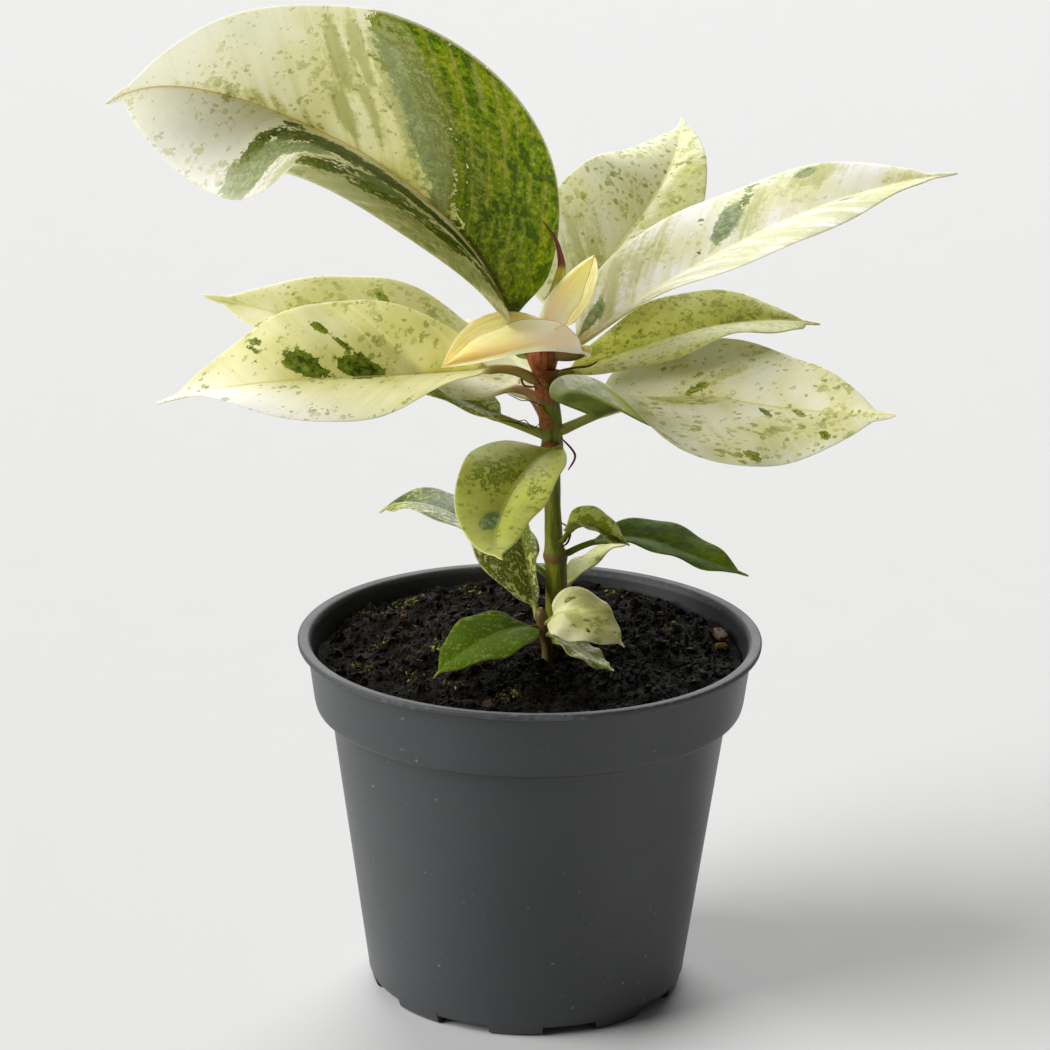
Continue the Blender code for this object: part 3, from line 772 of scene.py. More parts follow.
GAP = 0.0003
ROOT_HEIGHT = 0.060
STEM_FOOT = 0.084
SCARS = (0.1145, 0.1440, 0.1570)
SHOOT_SCARS = (0.0980,)
STEM_PATHS = {
    Stem.MAIN: (0.006, ((ROOT_HEIGHT, 0.0070, 0.0029), (0.0960, 0.0070, 0.0029),
                        (0.1120, 0.0065, 0.0028), (0.1145, 0.0063, 0.0031),
                        (0.1180, 0.0060, 0.0024), (0.1280, 0.0054, 0.0021),
                        (0.1410, 0.0052, 0.0021), (0.1440, 0.0052, 0.0026),
                        (0.1510, 0.0048, 0.0024), (0.1570, 0.0040, 0.0024),
                        (0.1630, 0.0028, 0.0023), (0.1665, 0.0024, 0.0036),
                        (0.1690, 0.0024, 0.0044), (0.1715, 0.0024, 0.0030))),
    Stem.SHOOT: (-0.004, ((ROOT_HEIGHT, 0.0046, 0.0015), (0.0930, 0.0046, 0.0015),
                          (0.0980, 0.0034, 0.0015), (0.1020, 0.0028, 0.0017),
                          (0.1035, 0.0027, 0.0010))),
}


def direction(heading: float, rise: float) -> Vector:
    """Return the unit vector of a heading seen from above and a rise, both in degrees.

    Args:
        heading: The heading.
        rise: The rise.

    Returns:
        The vector.
    """
    turn, lift = math.radians(heading), math.radians(rise)
    level = math.cos(lift)
    return Vector((math.cos(turn) * level, math.sin(turn) * level, math.sin(lift)))


@dataclass
class Frame:
    """A place along a leaf with its direction, its left side and its upper face."""

    point: Vector
    along: Vector
    side: Vector
    face: Vector

    @classmethod
    def facing(cls, along: Vector) -> "Frame":
        """Return a level frame at the origin that looks along a vector."""
        side = Vector((0.0, 0.0, 1.0)).cross(along).normalized()
        return cls(Vector((0.0, 0.0, 0.0)), along, side, along.cross(side))

    def rolled(self, angle: float) -> "Frame":
        """Return the frame turned about its direction by radians."""
        spin = Matrix.Rotation(angle, 3, self.along)
        return Frame(self.point, self.along, spin @ self.side, spin @ self.face)

    def step(self, distance: float, pitch: float, sway: float, twist: float) -> "Frame":
        """Return the next frame.

        Args:
            distance: How far it is, in metres.
            pitch: How much the way rises, in radians.
            sway: How much it turns to the left.
            twist: How much it turns about itself.

        Returns:
            The frame there.
        """
        lift = Matrix.Rotation(-pitch, 3, self.side)
        along, face = lift @ self.along, lift @ self.face
        swing = Matrix.Rotation(sway, 3, face)
        along, side = swing @ along, swing @ self.side
        return Frame(self.point + along * distance, along, side, face).rolled(twist)


def smoothstep(share: np.ndarray) -> np.ndarray:
    """Return shares from 0 to 1 that start and end gently."""
    return share * share * (3 - 2 * share)


def eased(values: tuple[float, float, float], t: np.ndarray) -> np.ndarray:
    """Blend smoothly through the values at the base, the middle and the tip.

    Args:
        values: The three values.
        t: Shares of the length.

    Returns:
        The value at each share.
    """
    first, middle, last = values
    share = smoothstep(np.where(t < 0.5, 2 * t, 2 * t - 1))
    return np.where(t < 0.5, first + (middle - first) * share, middle + (last - middle) * share)


@dataclass(frozen=True)
class Leaf:
    """One leaf with its petiole, shaped as its solid is and then given its finer form.

    Headings are seen from above, from +X towards +Y, and rises are above the horizontal. A fold
    lifts one half of the blade, given at the base, the middle and the tip. A pitch lifts the midrib
    and a sway turns it to the left, over each half of the length.
    """

    name: str
    slot: str
    finish: Union[LeafFinish, ScaleFinish]
    heading: float
    rise: float
    length: float
    left: float
    right: float
    stem: Stem = Stem.MAIN
    height: float = 0.0
    azimuth: float = 0.0
    foot: tuple = ()
    root: tuple = ()
    petiole: float = 0.009
    petiole_radius: float = 0.0012
    petiole_pitch: float = 0.0
    petiole_sway: float = 0.0
    roll: float = 0.0
    twist: float = 0.0
    pitch: tuple = (0.0, 0.0)
    sway: tuple = (0.0, 0.0)
    fold_left: tuple = (15.0, 10.0, 5.0)
    fold_right: tuple = (15.0, 10.0, 5.0)
    widest: float = 0.42
    lobe_right: float = 0.0
    curl: float = 0.0
    curl_until: float = 0.4
    marks: tuple = ()
    camber: float = 0.05
    wave: float = 0.0005
    thickness: float = 0.00055
    tip_share: float = 0.12
    tip_width: float = 0.09

    # The same for every leaf: how finely it is built, and the form of its blade.
    steps = 24
    petiole_steps = 6
    petiole_rows = 16
    long_leaf = 0.06
    rows = (48, 84)
    row_power = 1.15
    columns = (10, 16)
    column_power = 1.25
    outer_column = 0.985
    fullness = 0.75
    least_half_width = 0.00012
    vein_slope = 0.9
    trough = 0.0012
    waves = 3.2
    lobe_gain = 2.6
    neck = 0.055
    curled_from = 0.72
    curl_gain = 1.6
    sharp_edge = 60.0

    def _seat(self) -> tuple[Vector, Vector]:
        """Return where the petiole starts and the point inside the stem that it grew from.

        Returns:
            The start, and the point inside the stem.
        """
        if self.foot:
            return Vector(self.foot), Vector(self.root)
        radius, x, y = self.stem.at(self.height)
        centre = Vector((x, y, self.height))
        outward = direction(self.azimuth, 0.0)
        lean = self.petiole_radius * math.sin(outward.angle(direction(self.heading, self.rise)))
        start = centre + outward * (radius + 1.8 * GAP + lean)
        return start, centre + outward * radius * 0.45 - Vector((0.0, 0.0, 0.0008))

    def _frames(self) -> tuple[np.ndarray, list[Frame]]:
        """Return the distances of the frames from the blade's base, and the frames.

        Returns:
            The distances and the frames, from inside the stem to the tip.
        """
        start, root = self._seat()
        frame = Frame.facing(direction(self.heading, self.rise))
        n = self.petiole_steps
        frames = [frame]
        for _ in range(n):
            frame = frame.step(self.petiole / n, math.radians(self.petiole_pitch) / n,
                               math.radians(self.petiole_sway) / n, 0.0)
            frames.append(frame)
        roll = math.radians(self.roll)
        frames = [one.rolled(roll * i / n) for i, one in enumerate(frames)]
        frame = frames[-1]
        share = 2.0 / self.steps
        for i in range(self.steps):
            half = 0 if i < self.steps / 2 else 1
            frame = frame.step(self.length / self.steps, math.radians(self.pitch[half]) * share,
                               math.radians(self.sway[half]) * share,
                               math.radians(self.twist) * share / 2)
            frames.append(frame)
        for one in frames:
            one.point = one.point + start
        first = frames[0]
        frames.insert(0, Frame(root, first.along, first.side, first.face))
        back = (first.point - root).length
        distances = [-self.petiole - back]
        distances += [-self.petiole * (n - i) / n for i in range(n + 1)]
        distances += [self.length * (i + 1) / self.steps for i in range(self.steps)]
        return np.array(distances), frames

    def _outline(self, t: np.ndarray) -> np.ndarray:
        """Return the half width of the blade at shares of its length, with a slender drip tip.

        Args:
            t: The shares of the length.

        Returns:
            The half width at each share, where the widest is about 1.
        """
        body_end = 1 - 0.55 * self.tip_share
        power = math.log(0.5) / math.log(self.widest / body_end)
        body = np.sin(np.pi * np.clip(t / body_end, 0.0, 1.0) ** power)
        body = np.clip(body, 0.0, 1.0) ** self.fullness
        tip = self.tip_width * np.clip((1 - t) / self.tip_share, 0.0, 1.0) ** 0.6
        tip = tip * np.clip(t / 0.3, 0.0, 1.0)
        return (body ** 3 + tip ** 3) ** (1 / 3)

    def _columns(self) -> np.ndarray:
        """Return the places across the blade, from the left margin to the right.

        Returns:
            The places, from 1 at the left margin to -1 at the right.
        """
        count = self.columns[self.length > self.long_leaf]
        half = [(i / count) ** self.column_power for i in range(count)]
        half += [self.outer_column, 1.0]
        return np.array(half[::-1] + [-share for share in half[1:]])

    def build(self) -> bpy.types.Object:
        """Build the leaf as one closed skin and dress it.

        Returns:
            The leaf's object.
        """
        distances, frames = self._frames()
        rows = self.rows[self.length > self.long_leaf]
        x = np.concatenate([np.linspace(distances[0], 0.0, self.petiole_rows),
                            (np.arange(1, rows + 1) / rows) ** self.row_power * self.length])
        axes = self._axes(x, distances, frames)
        across = self._columns()
        reach, ring = self._blade(np.clip(x / self.length, 0.0, 1.0), across, axes)
        blend = smoothstep(np.clip(x / (self.neck * self.length), 0.0, 1.0))[:, None, None]
        skin = self._stalk(x, across, axes) * (1 - blend) + ring * blend
        made = add_mesh(self.name + "_skin", skin.reshape(-1, 3), tube_faces(*skin.shape[:2]),
                        material_of(self.finish), self._fields(x, across, reach), self.sharp_edge)
        return belong(made, self.slot, self.name)

    def _blade(self, t: np.ndarray, across: np.ndarray,
               axes: Sequence[np.ndarray]) -> tuple[np.ndarray, np.ndarray]:
        """Return the blade's form.

        Args:
            t: The share of the length at each row.
            across: The place of each column.
            axes: The points, directions, left sides and upper faces of the rows.

        Returns:
            How far each place of a row is from the midrib, and the ring of points round each row.
        """
        point, along, side, face = (part[:, None, :] for part in axes)
        t = t[:, None]
        left, size = across > 0, np.abs(across)[None, :]
        outline = self._outline(t)
        fold = np.radians(np.where(left, eased(self.fold_left, t), eased(self.fold_right, t)))
        half = np.maximum(np.where(left, self.left, self.right) * outline, self.least_half_width)
        reach = half * size
        sideways = side * np.where(left, 1.0, -1.0)[None, :, None]
        cos, sin = np.cos(fold)[..., None], np.sin(fold)[..., None]
        out = sideways * cos + face * sin
        normal = np.where(size[..., None] > 0, face * cos - sideways * sin, face)
        phase = 6.0 * self.heading / 100
        ripple = np.sin(math.tau * (self.waves * t) + phase + 2.0 * left) * self.wave * size ** 2
        quilt = self.camber * half * 4 * size * (1 - size) - ripple * np.clip(outline * 2, 0, 1)
        near_rib = np.clip(1 - reach / self.trough, 0, 1) ** 2
        soft = 0.3 * self.trough * np.sin(np.clip(fold, 0, 1.2)) * near_rib
        share = np.clip(t / 0.6, 0.0, 1.0)
        lobe = -self.lobe_right * size * self.lobe_gain * np.sqrt(share) * (1 - share)
        lobe = np.where(left, 0.0, lobe)
        rolled = np.where(left, 0.0, np.clip(size - self.curled_from, 0.0, 1.0)) * half
        lift = smoothstep(np.clip(self.curl_gain * (1 - t / self.curl_until), 0.0, 1.0))
        lift = lift * math.radians(self.curl)
        flat, raised = reach - rolled * (1 - np.cos(lift)), rolled * np.sin(lift)
        middle = point + out * flat[..., None] + along * lobe[..., None]
        middle = middle + normal * (quilt + raised)[..., None] + face * soft[..., None]
        thick = (self.thickness * (1 - 0.35 * size) * np.where(size >= 1.0, 0.4, 1.0))[..., None]
        width = self.petiole_radius * (1 - 0.6 * t)
        ridge = 1.2 * self.petiole_radius * (1 - t) ** 0.8 * np.exp(-(reach / width) ** 2)
        upper = middle + normal * (thick / 2)
        lower = middle - normal * (thick / 2) - face * ridge[..., None]
        return reach, np.concatenate([upper, lower[:, ::-1]], axis=1)

    def _stalk(self, x: np.ndarray, across: np.ndarray, axes: Sequence[np.ndarray]) -> np.ndarray:
        """Return the rings of a round stalk along the whole leaf.

        Args:
            x: The distance of each row from the blade's base.
            across: The place of each column on the upper face.
            axes: The points, directions, left sides and upper faces of the rows.

        Returns:
            The points of the rings.
        """
        point, _, side, face = (part[:, None, :] for part in axes)
        angle = np.arccos(across * self.outer_column)
        angle = np.concatenate([angle, -angle[::-1]])[None, :, None]
        radius = self.petiole_radius * np.where(x < 0, 1 + 0.3 * (x / x[0]) ** 2, 1.0)
        return point + (side * np.cos(angle) + face * np.sin(angle)) * radius[:, None, None]

    def _fields(self, x: np.ndarray, across: np.ndarray,
                reach: np.ndarray) -> dict[str, np.ndarray]:
        """Return the attributes that the finish reads.

        Args:
            x: The distance of each row from the blade's base.
            across: The place of each column on the upper face.
            reach: How far each place of a row is from the midrib.

        Returns:
            The places on the leaf, the places on its side veins and the levels of its marks.
        """
        reach = reach * np.sign(across)
        full = np.concatenate([reach, reach[:, ::-1]], axis=1)
        place, vein, tones = np.zeros((3, *full.shape, 3))
        place[..., 0] = (x / self.length)[:, None]
        place[..., 1] = np.concatenate([across, across[::-1]])
        place[..., 2] = np.repeat([1.0, -1.0], len(across))
        vein[..., 0] = x[:, None] - self.vein_slope * np.abs(full)
        vein[..., 1] = full
        vein[..., 2] = (self.heading * 0.37) % 11.0
        for mark in self.marks:
            level = mark.level(vein[..., 0] / self.length, place[..., 1])
            tones[..., mark.tone.value] = np.maximum(tones[..., mark.tone.value], level)
        return {"leaf_place": place, "leaf_vein": vein, "leaf_marks": tones}

    @staticmethod
    def _axes(x: np.ndarray, distances: np.ndarray,
              frames: list[Frame]) -> tuple[np.ndarray, np.ndarray, np.ndarray, np.ndarray]:
        """Return smooth points and axes at distances from the blade's base.

        Args:
            x: The distances wanted.
            distances: The distances of the frames.
            frames: The frames.

        Returns:
            The points, directions, left sides and upper faces.
        """
        given = {name: np.array([getattr(one, name)[:] for one in frames])
                 for name in ("point", "along", "side", "face")}
        slope = np.gradient(given["point"], distances, axis=0)
        index = np.clip(np.searchsorted(distances, x, "right") - 1, 0, len(distances) - 2)
        span = (distances[index + 1] - distances[index])[:, None]
        s = (x[:, None] - distances[index][:, None]) / span
        points = given["point"]
        point = ((2 * s ** 3 - 3 * s ** 2 + 1) * points[index] + (s ** 3 - 2 * s ** 2 + s) * span
                 * slope[index] + (3 * s ** 2 - 2 * s ** 3) * points[index + 1]
                 + (s ** 3 - s ** 2) * span * slope[index + 1])
        along = given["along"][index] * (1 - s) + given["along"][index + 1] * s
        along /= np.linalg.norm(along, axis=1)[:, None]
        side = given["side"][index] * (1 - s) + given["side"][index + 1] * s
        side -= along * np.sum(side * along, axis=1)[:, None]
        side /= np.linalg.norm(side, axis=1)[:, None]
        return point, along, side, np.cross(along, side)


LEAVES = (
    Leaf("leaf_top_left", "leaf_mint", LEMON, heading=195, rise=64, length=0.141, left=0.0395,
         right=0.0365, height=0.1685, azimuth=170, petiole=0.0075, petiole_pitch=10,
         petiole_sway=10, roll=-55, twist=-60, pitch=(-50, 80), sway=(30, 25),
         fold_left=(48, 65, -5), fold_right=(25, 25, 0),
         marks=patches(green=((0, -0.66, 0.27, 0.66, 1.3), (0.08, -0.22, 0.17, 0.34, 1.1),
                              (0.25, -0.92, 0.06, 0.14, 1.2), (0.545, 0.12, 0.022, 0.05, 0.9),
                              (0.535, 0.44, 0.022, 0.3), (0.45, 0.3, 0.09, 0.13),
                              (0.35, 0.34, 0.09, 0.12), (0.25, 0.38, 0.08, 0.1),
                              (0.15, 0.38, 0.07, 0.1), (0.07, 0.3, 0.05, 0.1),
                              (0.29, 0.66, 0.05, 0.18, 0.8), (0.2, 0.66, 0.06, 0.16, 0.75),
                              (0.11, 0.62, 0.05, 0.14, 0.8), (0.04, 0.55, 0.05, 0.15, 0.8),
                              (0, 0.4, 0.04, 0.16)),
                       grey=((0.27, -0.55, 0.055, 0.55), (0.19, -0.35, 0.03, 0.3, 0.6),
                             (0.49, 0.72, 0.065, 0.36), (0.4, 0.52, 0.06, 0.12),
                             (0.24, 0.56, 0.05, 0.08)),
                       olive=((0.41, -0.62, 0.025, 0.24), (0.44, -0.22, 0.02, 0.14),
                              (0.36, -0.7, 0.012, 0.22), (0.385, -0.3, 0.012, 0.2),
                              (0.32, -0.55, 0.02, 0.4), (0.25, -0.22, 0.05, 0.3),
                              (0.66, -0.08, 0.14, 0.07, 0.5), (0.15, 0.85, 0.25, 0.3, 0.8)))),
    Leaf("leaf_top_back", "leaf_cream", FLECKED, heading=69, rise=22, length=0.095, left=0.0225,
         right=0.0165, height=0.169, azimuth=75, petiole_radius=0.0011, petiole_sway=-5, roll=10,
         twist=-10, pitch=(10, -20), sway=(-5, 30), fold_left=(20, 30, -5), fold_right=(20, 0, 25),
         widest=0.36,
         marks=patches(grey=((0.37, -0.55, 0.045, 0.4), (0.28, -0.2, 0.035, 0.16)),
                       olive=((0.5, -0.6, 0.2, 0.45), (0.2, 0.3, 0.12, 0.5, 0.7)))),
    Leaf("leaf_top_right", "leaf_cream", IVORY, heading=13, rise=36, length=0.115, left=0.023,
         right=0.019, height=0.1685, azimuth=5, petiole=0.0025, petiole_radius=0.0011, roll=5,
         twist=15, pitch=(-15, -20), sway=(5, 0), fold_left=(35, 5, 15), fold_right=(20, 10, 20),
         widest=0.44, curl=20, curl_until=0.6,
         marks=patches(green=((0.415, 0.62, 0.02, 0.2), (0.33, 0.15, 0.012, 0.08),
                              (0.41, 0.9, 0.02, 0.07), (0.465, 0.9, 0.013, 0.07),
                              (0.3, 0.6, 0.012, 0.06)),
                       grey=((0.385, 0.4, 0.036, 0.3), (0.57, 0.8, 0.03, 0.12),
                             (0.69, -0.15, 0.02, 0.1, 0.7), (0.05, 0.35, 0.03, 0.2)),
                       olive=((0.43, 0.5, 0.05, 0.5, 0.6), (0.6, 0.75, 0.09, 0.3, 0.8),
                              # The broad olive mark on the right half, at 0.45 and -0.7, is painted
                              # shade on the near half, which faces the light.
                              (0.12, 0.5, 0.1, 0.5, 0.6), (0.45, -0.7, 0.55, 0.6, 0.62),
                              (0.97, 0, 0.06, 1)))),
    Leaf("leaf_right_back", "leaf_green", LIME, heading=20, rise=21, length=0.0755, left=0.0145,
         right=0.021, height=0.162, azimuth=25, petiole=0.0025, petiole_radius=0.0011,
         petiole_pitch=-5, roll=15, pitch=(-10, -20), sway=(5, -5), fold_left=(15, 15, 15),
         fold_right=(5, 25, 10), widest=0.52),
    Leaf("leaf_right_front", "leaf_cream", CREAMY, heading=0, rise=27, length=0.08, left=0.0235,
         right=0.032, height=0.149, azimuth=-10, petiole=0.008, petiole_sway=-10, twist=20,
         pitch=(-30, 15), sway=(-10, -5), fold_left=(25, 10, 20), fold_right=(48, 0, -10),
         widest=0.36, lobe_right=0.016, curl=115, curl_until=0.58,
         marks=patches(green=((0.31, 0.13, 0.02, 0.1), (0.545, -0.13, 0.016, 0.08),
                              (0.67, -0.07, 0.016, 0.08), (0.36, -0.87, 0.03, 0.08),
                              (0.7, -0.63, 0.02, 0.15)),
                       grey=((0.02, -0.75, 0.08, 0.34, 1.2),),
                       olive=((0.33, 0.43, 0.03, 0.2), (0.03, -0.55, 0.09, 0.6, 1.4)))),
    Leaf("leaf_left_front", "leaf_cream", LEMON_FRONT, heading=195, rise=40, length=0.088,
         left=0.02, right=0.021, height=0.1624, azimuth=195, petiole=0.011, petiole_pitch=-42,
         roll=-30, twist=5, pitch=(0, -35), sway=(-5, -20), fold_left=(40, 10, 45),
         fold_right=(60, 25, 5), widest=0.44,
         marks=patches(green=((0.5, -0.2, 0.052, 0.22, 1.2), (0.36, -0.12, 0.06, 0.16, 1.2),
                              (0.35, -0.67, 0.02, 0.1), (0.335, -0.42, 0.014, 0.12),
                              (0.32, -0.28, 0.012, 0.07), (0.59, -0.6, 0.012, 0.16),
                              (0.56, -0.73, 0.02, 0.1), (0.62, -0.34, 0.008, 0.1, 0.8)))),
    Leaf("leaf_left_back", "leaf_mint", MINT, heading=150, rise=34, length=0.087, left=0.02,
         right=0.022, height=0.1566, azimuth=155, petiole=0.005, petiole_pitch=-30, roll=-15,
         pitch=(25, -20), sway=(25, -15), fold_left=(5, 50, -20), fold_right=(-15, 20, 15),
         widest=0.36,
         marks=patches(green=((0.34, -0.67, 0.02, 0.1),),
                       olive=((0.5, -0.23, 0.04, 0.2), (0.95, 0, 0.06, 1)))),
    Leaf("leaf_left_low", "leaf_green", replace(LIME, name="lime low leaf", spread=0.55),
         heading=165, rise=16, length=0.052, left=0.01, right=0.014, height=0.1475, azimuth=170,
         petiole=0.01, petiole_radius=0.0011, twist=-5, pitch=(10, -25), fold_left=(10, 10, 5),
         fold_right=(10, 10, 5), widest=0.4),
    Leaf("leaf_back_low", "leaf_mint", MINT, heading=106, rise=12, length=0.062, left=0.0165,
         right=0.0085, height=0.1505, azimuth=120, petiole_radius=0.0011, roll=15, twist=5,
         pitch=(-5, -10), fold_left=(-10, 10, 5), fold_right=(-5, 0, 5), widest=0.46),
    Leaf("leaf_middle_front", "leaf_green", LIME_FRONT, heading=241, rise=4, length=0.059,
         left=0.0115, right=0.0145, height=0.1445, azimuth=-60, petiole=0.003,
         petiole_radius=0.0009, roll=-5, pitch=(-30, 30), sway=(10, 35), fold_left=(20, 15, 10),
         fold_right=(10, 30, 0), widest=0.4,
         marks=patches(green=((0.3, -0.4, 0.2, 0.6, 0.55), (0.3, 0.6, 0.2, 0.5, 0.5)),
                       grey=((0.62, -0.23, 0.07, 0.25),))),
    Leaf("leaf_small_left", "leaf_dark", MARBLE, heading=138, rise=18, length=0.06, left=0.008,
         right=0.013, height=0.109, azimuth=140, petiole=0.004, petiole_radius=0.0009, twist=-20,
         pitch=(-5, -50), sway=(5, -5), fold_left=(20, 20, -5), fold_right=(10, -15, 20),
         widest=0.4,
         marks=patches(green=((0.5, -0.6, 0.6, 0.5),))),
    Leaf("leaf_small_right", "leaf_dark", DARK, heading=-12, rise=34, length=0.043, left=0.011,
         right=0.008, height=0.1155, azimuth=5, petiole=0.0065, petiole_radius=0.0008,
         petiole_pitch=-10, petiole_sway=-5, roll=5, pitch=(-40, 5), sway=(-5, 0),
         fold_left=(15, 5, 15), fold_right=(15, 15, 5), widest=0.44),
    Leaf("leaf_small_folded", "leaf_dark", DARK_FOLDED, heading=-36, rise=58, length=0.02,
         left=0.005, right=0.0065, height=0.1196, azimuth=-45, petiole=0.003, petiole_radius=0.0007,
         petiole_sway=-5, roll=5, twist=5, pitch=(-75, -5), sway=(0, 5), fold_left=(75, 70, 60),
         fold_right=(10, 30, 10)),
    Leaf("leaf_small_back", "leaf_mint", replace(LIME, name="lime back leaf", spread=0.05),
         heading=58, rise=18, length=0.039, left=0.0045, right=0.0075, height=0.1035, azimuth=55,
         petiole=0.0025, petiole_radius=0.0008, petiole_pitch=10, petiole_sway=15, roll=-15,
         twist=-5, pitch=(-30, -5), sway=(-15, -5), fold_left=(15, 0, 5), fold_right=(5, 5, 5),
         widest=0.44),
    Leaf("leaf_shoot_back", "leaf_green", MARBLE, heading=111, rise=55, length=0.039, left=0.015,
         right=0.005, stem=Stem.SHOOT, height=0.1005, azimuth=115, petiole=0.0025,
         petiole_radius=0.0008, twist=5, pitch=(-25, -40), sway=(-10, 10), fold_left=(15, 5, 5),
         fold_right=(75, 75, 60), widest=0.44),
    Leaf("leaf_shoot_right", "leaf_cream", CREAMY_SMALL, heading=-38, rise=32, length=0.024,
         left=0.0075, right=0.01, stem=Stem.SHOOT, height=0.1005, azimuth=-35, petiole=0.002,
         petiole_radius=0.0008, petiole_pitch=15, petiole_sway=-10, roll=25, twist=-10,
         pitch=(-65, -30), sway=(-10, 0), fold_left=(65, 0, 0), fold_right=(5, 0, 5), widest=0.4,
         marks=patches(green=((0.12, 0.5, 0.03, 0.12), (0.45, -0.5, 0.03, 0.1)),
                       olive=((0.62, 0.3, 0.06, 0.16), (0.3, -0.2, 0.12, 0.3),
                              (0.25, 0.6, 0.3, 0.4, 0.8)))),
    Leaf("leaf_shoot_low", "leaf_green", replace(LIME, name="lime shoot leaf", spread=0.6),
         heading=-47, rise=-5, length=0.02, left=0.0045, right=0.0075, stem=Stem.SHOOT,
         height=0.097, azimuth=-40, petiole=0.0025, petiole_radius=0.0008, roll=-5, pitch=(-10, 5),
         sway=(5, 5), fold_right=(20, 15, 0), widest=0.44),
    Leaf("leaf_shoot_left", "leaf_green", DARK_SHOOT, heading=227, rise=13, length=0.035,
         left=0.011, right=0.0095, stem=Stem.SHOOT, height=0.0985, azimuth=210, petiole=0.002,
         petiole_radius=0.0008, petiole_pitch=5, petiole_sway=5, roll=-10, twist=5,
         pitch=(-30, -20), sway=(-5, 0), fold_left=(15, 5, 10)),
    Leaf("bud_scale_left", "bud_scale", ScaleFinish("left bud scale"), heading=200, rise=16,
         length=0.0415, left=0.011, right=0.0115, foot=(0.0136, 0.001, 0.171),
         root=(0.0142, 0.0012, 0.1706), petiole=0.001, pitch=(-24, 12), sway=(8, 15),
         fold_left=(72, 62, 70), fold_right=(30, 52, 58), widest=0.5, camber=0.12, wave=0.0003,
         thickness=0.0004, tip_share=0.02, tip_width=0),
    Leaf("bud_scale_right", "bud_scale", ScaleFinish("right bud scale"), heading=29, rise=78,
         length=0.029, left=0.011, right=0.0105, foot=(0.001, 0.005, 0.1732),
         root=(0.002, 0.0058, 0.1706), petiole=0.001, petiole_pitch=5, petiole_sway=-5, roll=122,
         twist=10, pitch=(30, 15), sway=(5, 10), fold_left=(50, 50, 55), fold_right=(60, 40, 42),
         camber=0.12, wave=0.0003, thickness=0.0004, tip_share=0.02, tip_width=0),
)


def rounded(corners: Sequence[Point], steps: int = 4) -> list[tuple[float, float]]:
    """Round the corners of a profile.

    Args:
        corners: Each corner's radius from the axis, height and rounding.
        steps: How many edges each rounding has.

    Returns:
        The points of the rounded profile.
    """
    points = [Vector(corner[:2]) for corner in corners]
    profile = [points[0]]
    for before, here, after, corner in zip(points, points[1:], points[2:], corners[1:]):
        back, forth = before - here, after - here
        size = min(corner[2], 0.45 * back.length, 0.45 * forth.length)
        start, end = here + back.normalized() * size, here + forth.normalized() * size
        for i in range(steps + 1):
            s = i / steps
            profile.append(start * (1 - s) ** 2 + here * 2 * s * (1 - s) + end * s ** 2)
    profile.append(points[-1])
    return [tuple(point) for point in profile]


def spin(name: str, profile: Sequence[tuple[float, float]], angles: Sequence[float],
         material: bpy.types.Material, shaped: Callable[[float, float, float], Point],
         crease: float) -> bpy.types.Object:
    """Turn a profile that starts and ends on the axis.

    Args:
        name: The object's name.
        profile: Radius and height of each point.
        angles: The angles of the columns.
        material: The material.
        shaped: Returns where a point at x, y and z really goes; the first point stays.
        crease: The angle past which an edge is sharp, in degrees.

    Returns:
        The closed object.
    """
    inner = profile[1:-1]
    points = [(0.0, 0.0, profile[0][1]), shaped(0.0, 0.0, profile[-1][1])]
    faces = []
    count = len(inner)
    for angle in angles:
        for radius, height in inner:
            points.append(shaped(radius * math.cos(angle), radius * math.sin(angle), height))
    for k in range(len(angles)):
        here, there = 2 + k * count, 2 + (k + 1) % len(angles) * count
        faces.append((0, here, there))
        faces.append((1, there + count - 1, here + count - 1))
        faces += [(here + i, here + i + 1, there + i + 1, there + i) for i in range(count - 1)]
    return add_mesh(name, np.array(points), faces, material, crease=crease)


@dataclass(frozen=True)
class PotFinish:
    """Slate grey moulded plastic with a faint grain, dust and a scuffed lip."""

    name: str = "slate pot plastic"
    grey: Colour = seen(52, 54, 56)
    shade: Colour = seen(45, 47, 49)
    worn: Colour = seen(108, 112, 116)
    dust: Colour = seen(150, 146, 138)
    lip_height: float = 0.0925

    def material(self) -> bpy.types.Material:
        """Build the plastic's material.

        Returns:
            The material.
        """
        pot = Surface(self.name)
        place = pot.place()
        x, y, height = pot.split(place)
        mould = pot.noise(place, 2600.0, 2.0, 0.5)
        flow = pot.noise(place, 38.0, 3.0, 0.6)
        drag = pot.noise_of(x * 60.0, y * 60.0, height * 700.0, 3.0, 0.6)
        fleck = pot.noise(place, 700.0, 2.0, 0.5)
        body = pot.mix(flow.between(0.3, 0.7) * 0.35, self.grey, self.shade)
        body = pot.mix(fleck.between(0.70, 0.76) * flow.between(0.45, 0.6) * 0.5, body, self.dust)
        lip = height.between(self.lip_height, self.lip_height + 0.0018)
        scuff = lip * (drag + (fleck - 0.5) * 0.6).between(0.46, 0.66)
        body = pot.mix(scuff * 0.45, body, self.worn)
        gloss = 0.41 + (flow - 0.5) * 0.16 + (mould - 0.5) * 0.10 + scuff * 0.12 + lip * 0.22
        return pot.finish(body, gloss, mould * 0.5 + drag * 0.35 + fleck * 0.15, 0.00006,
                          specular_ior_level=0.6)


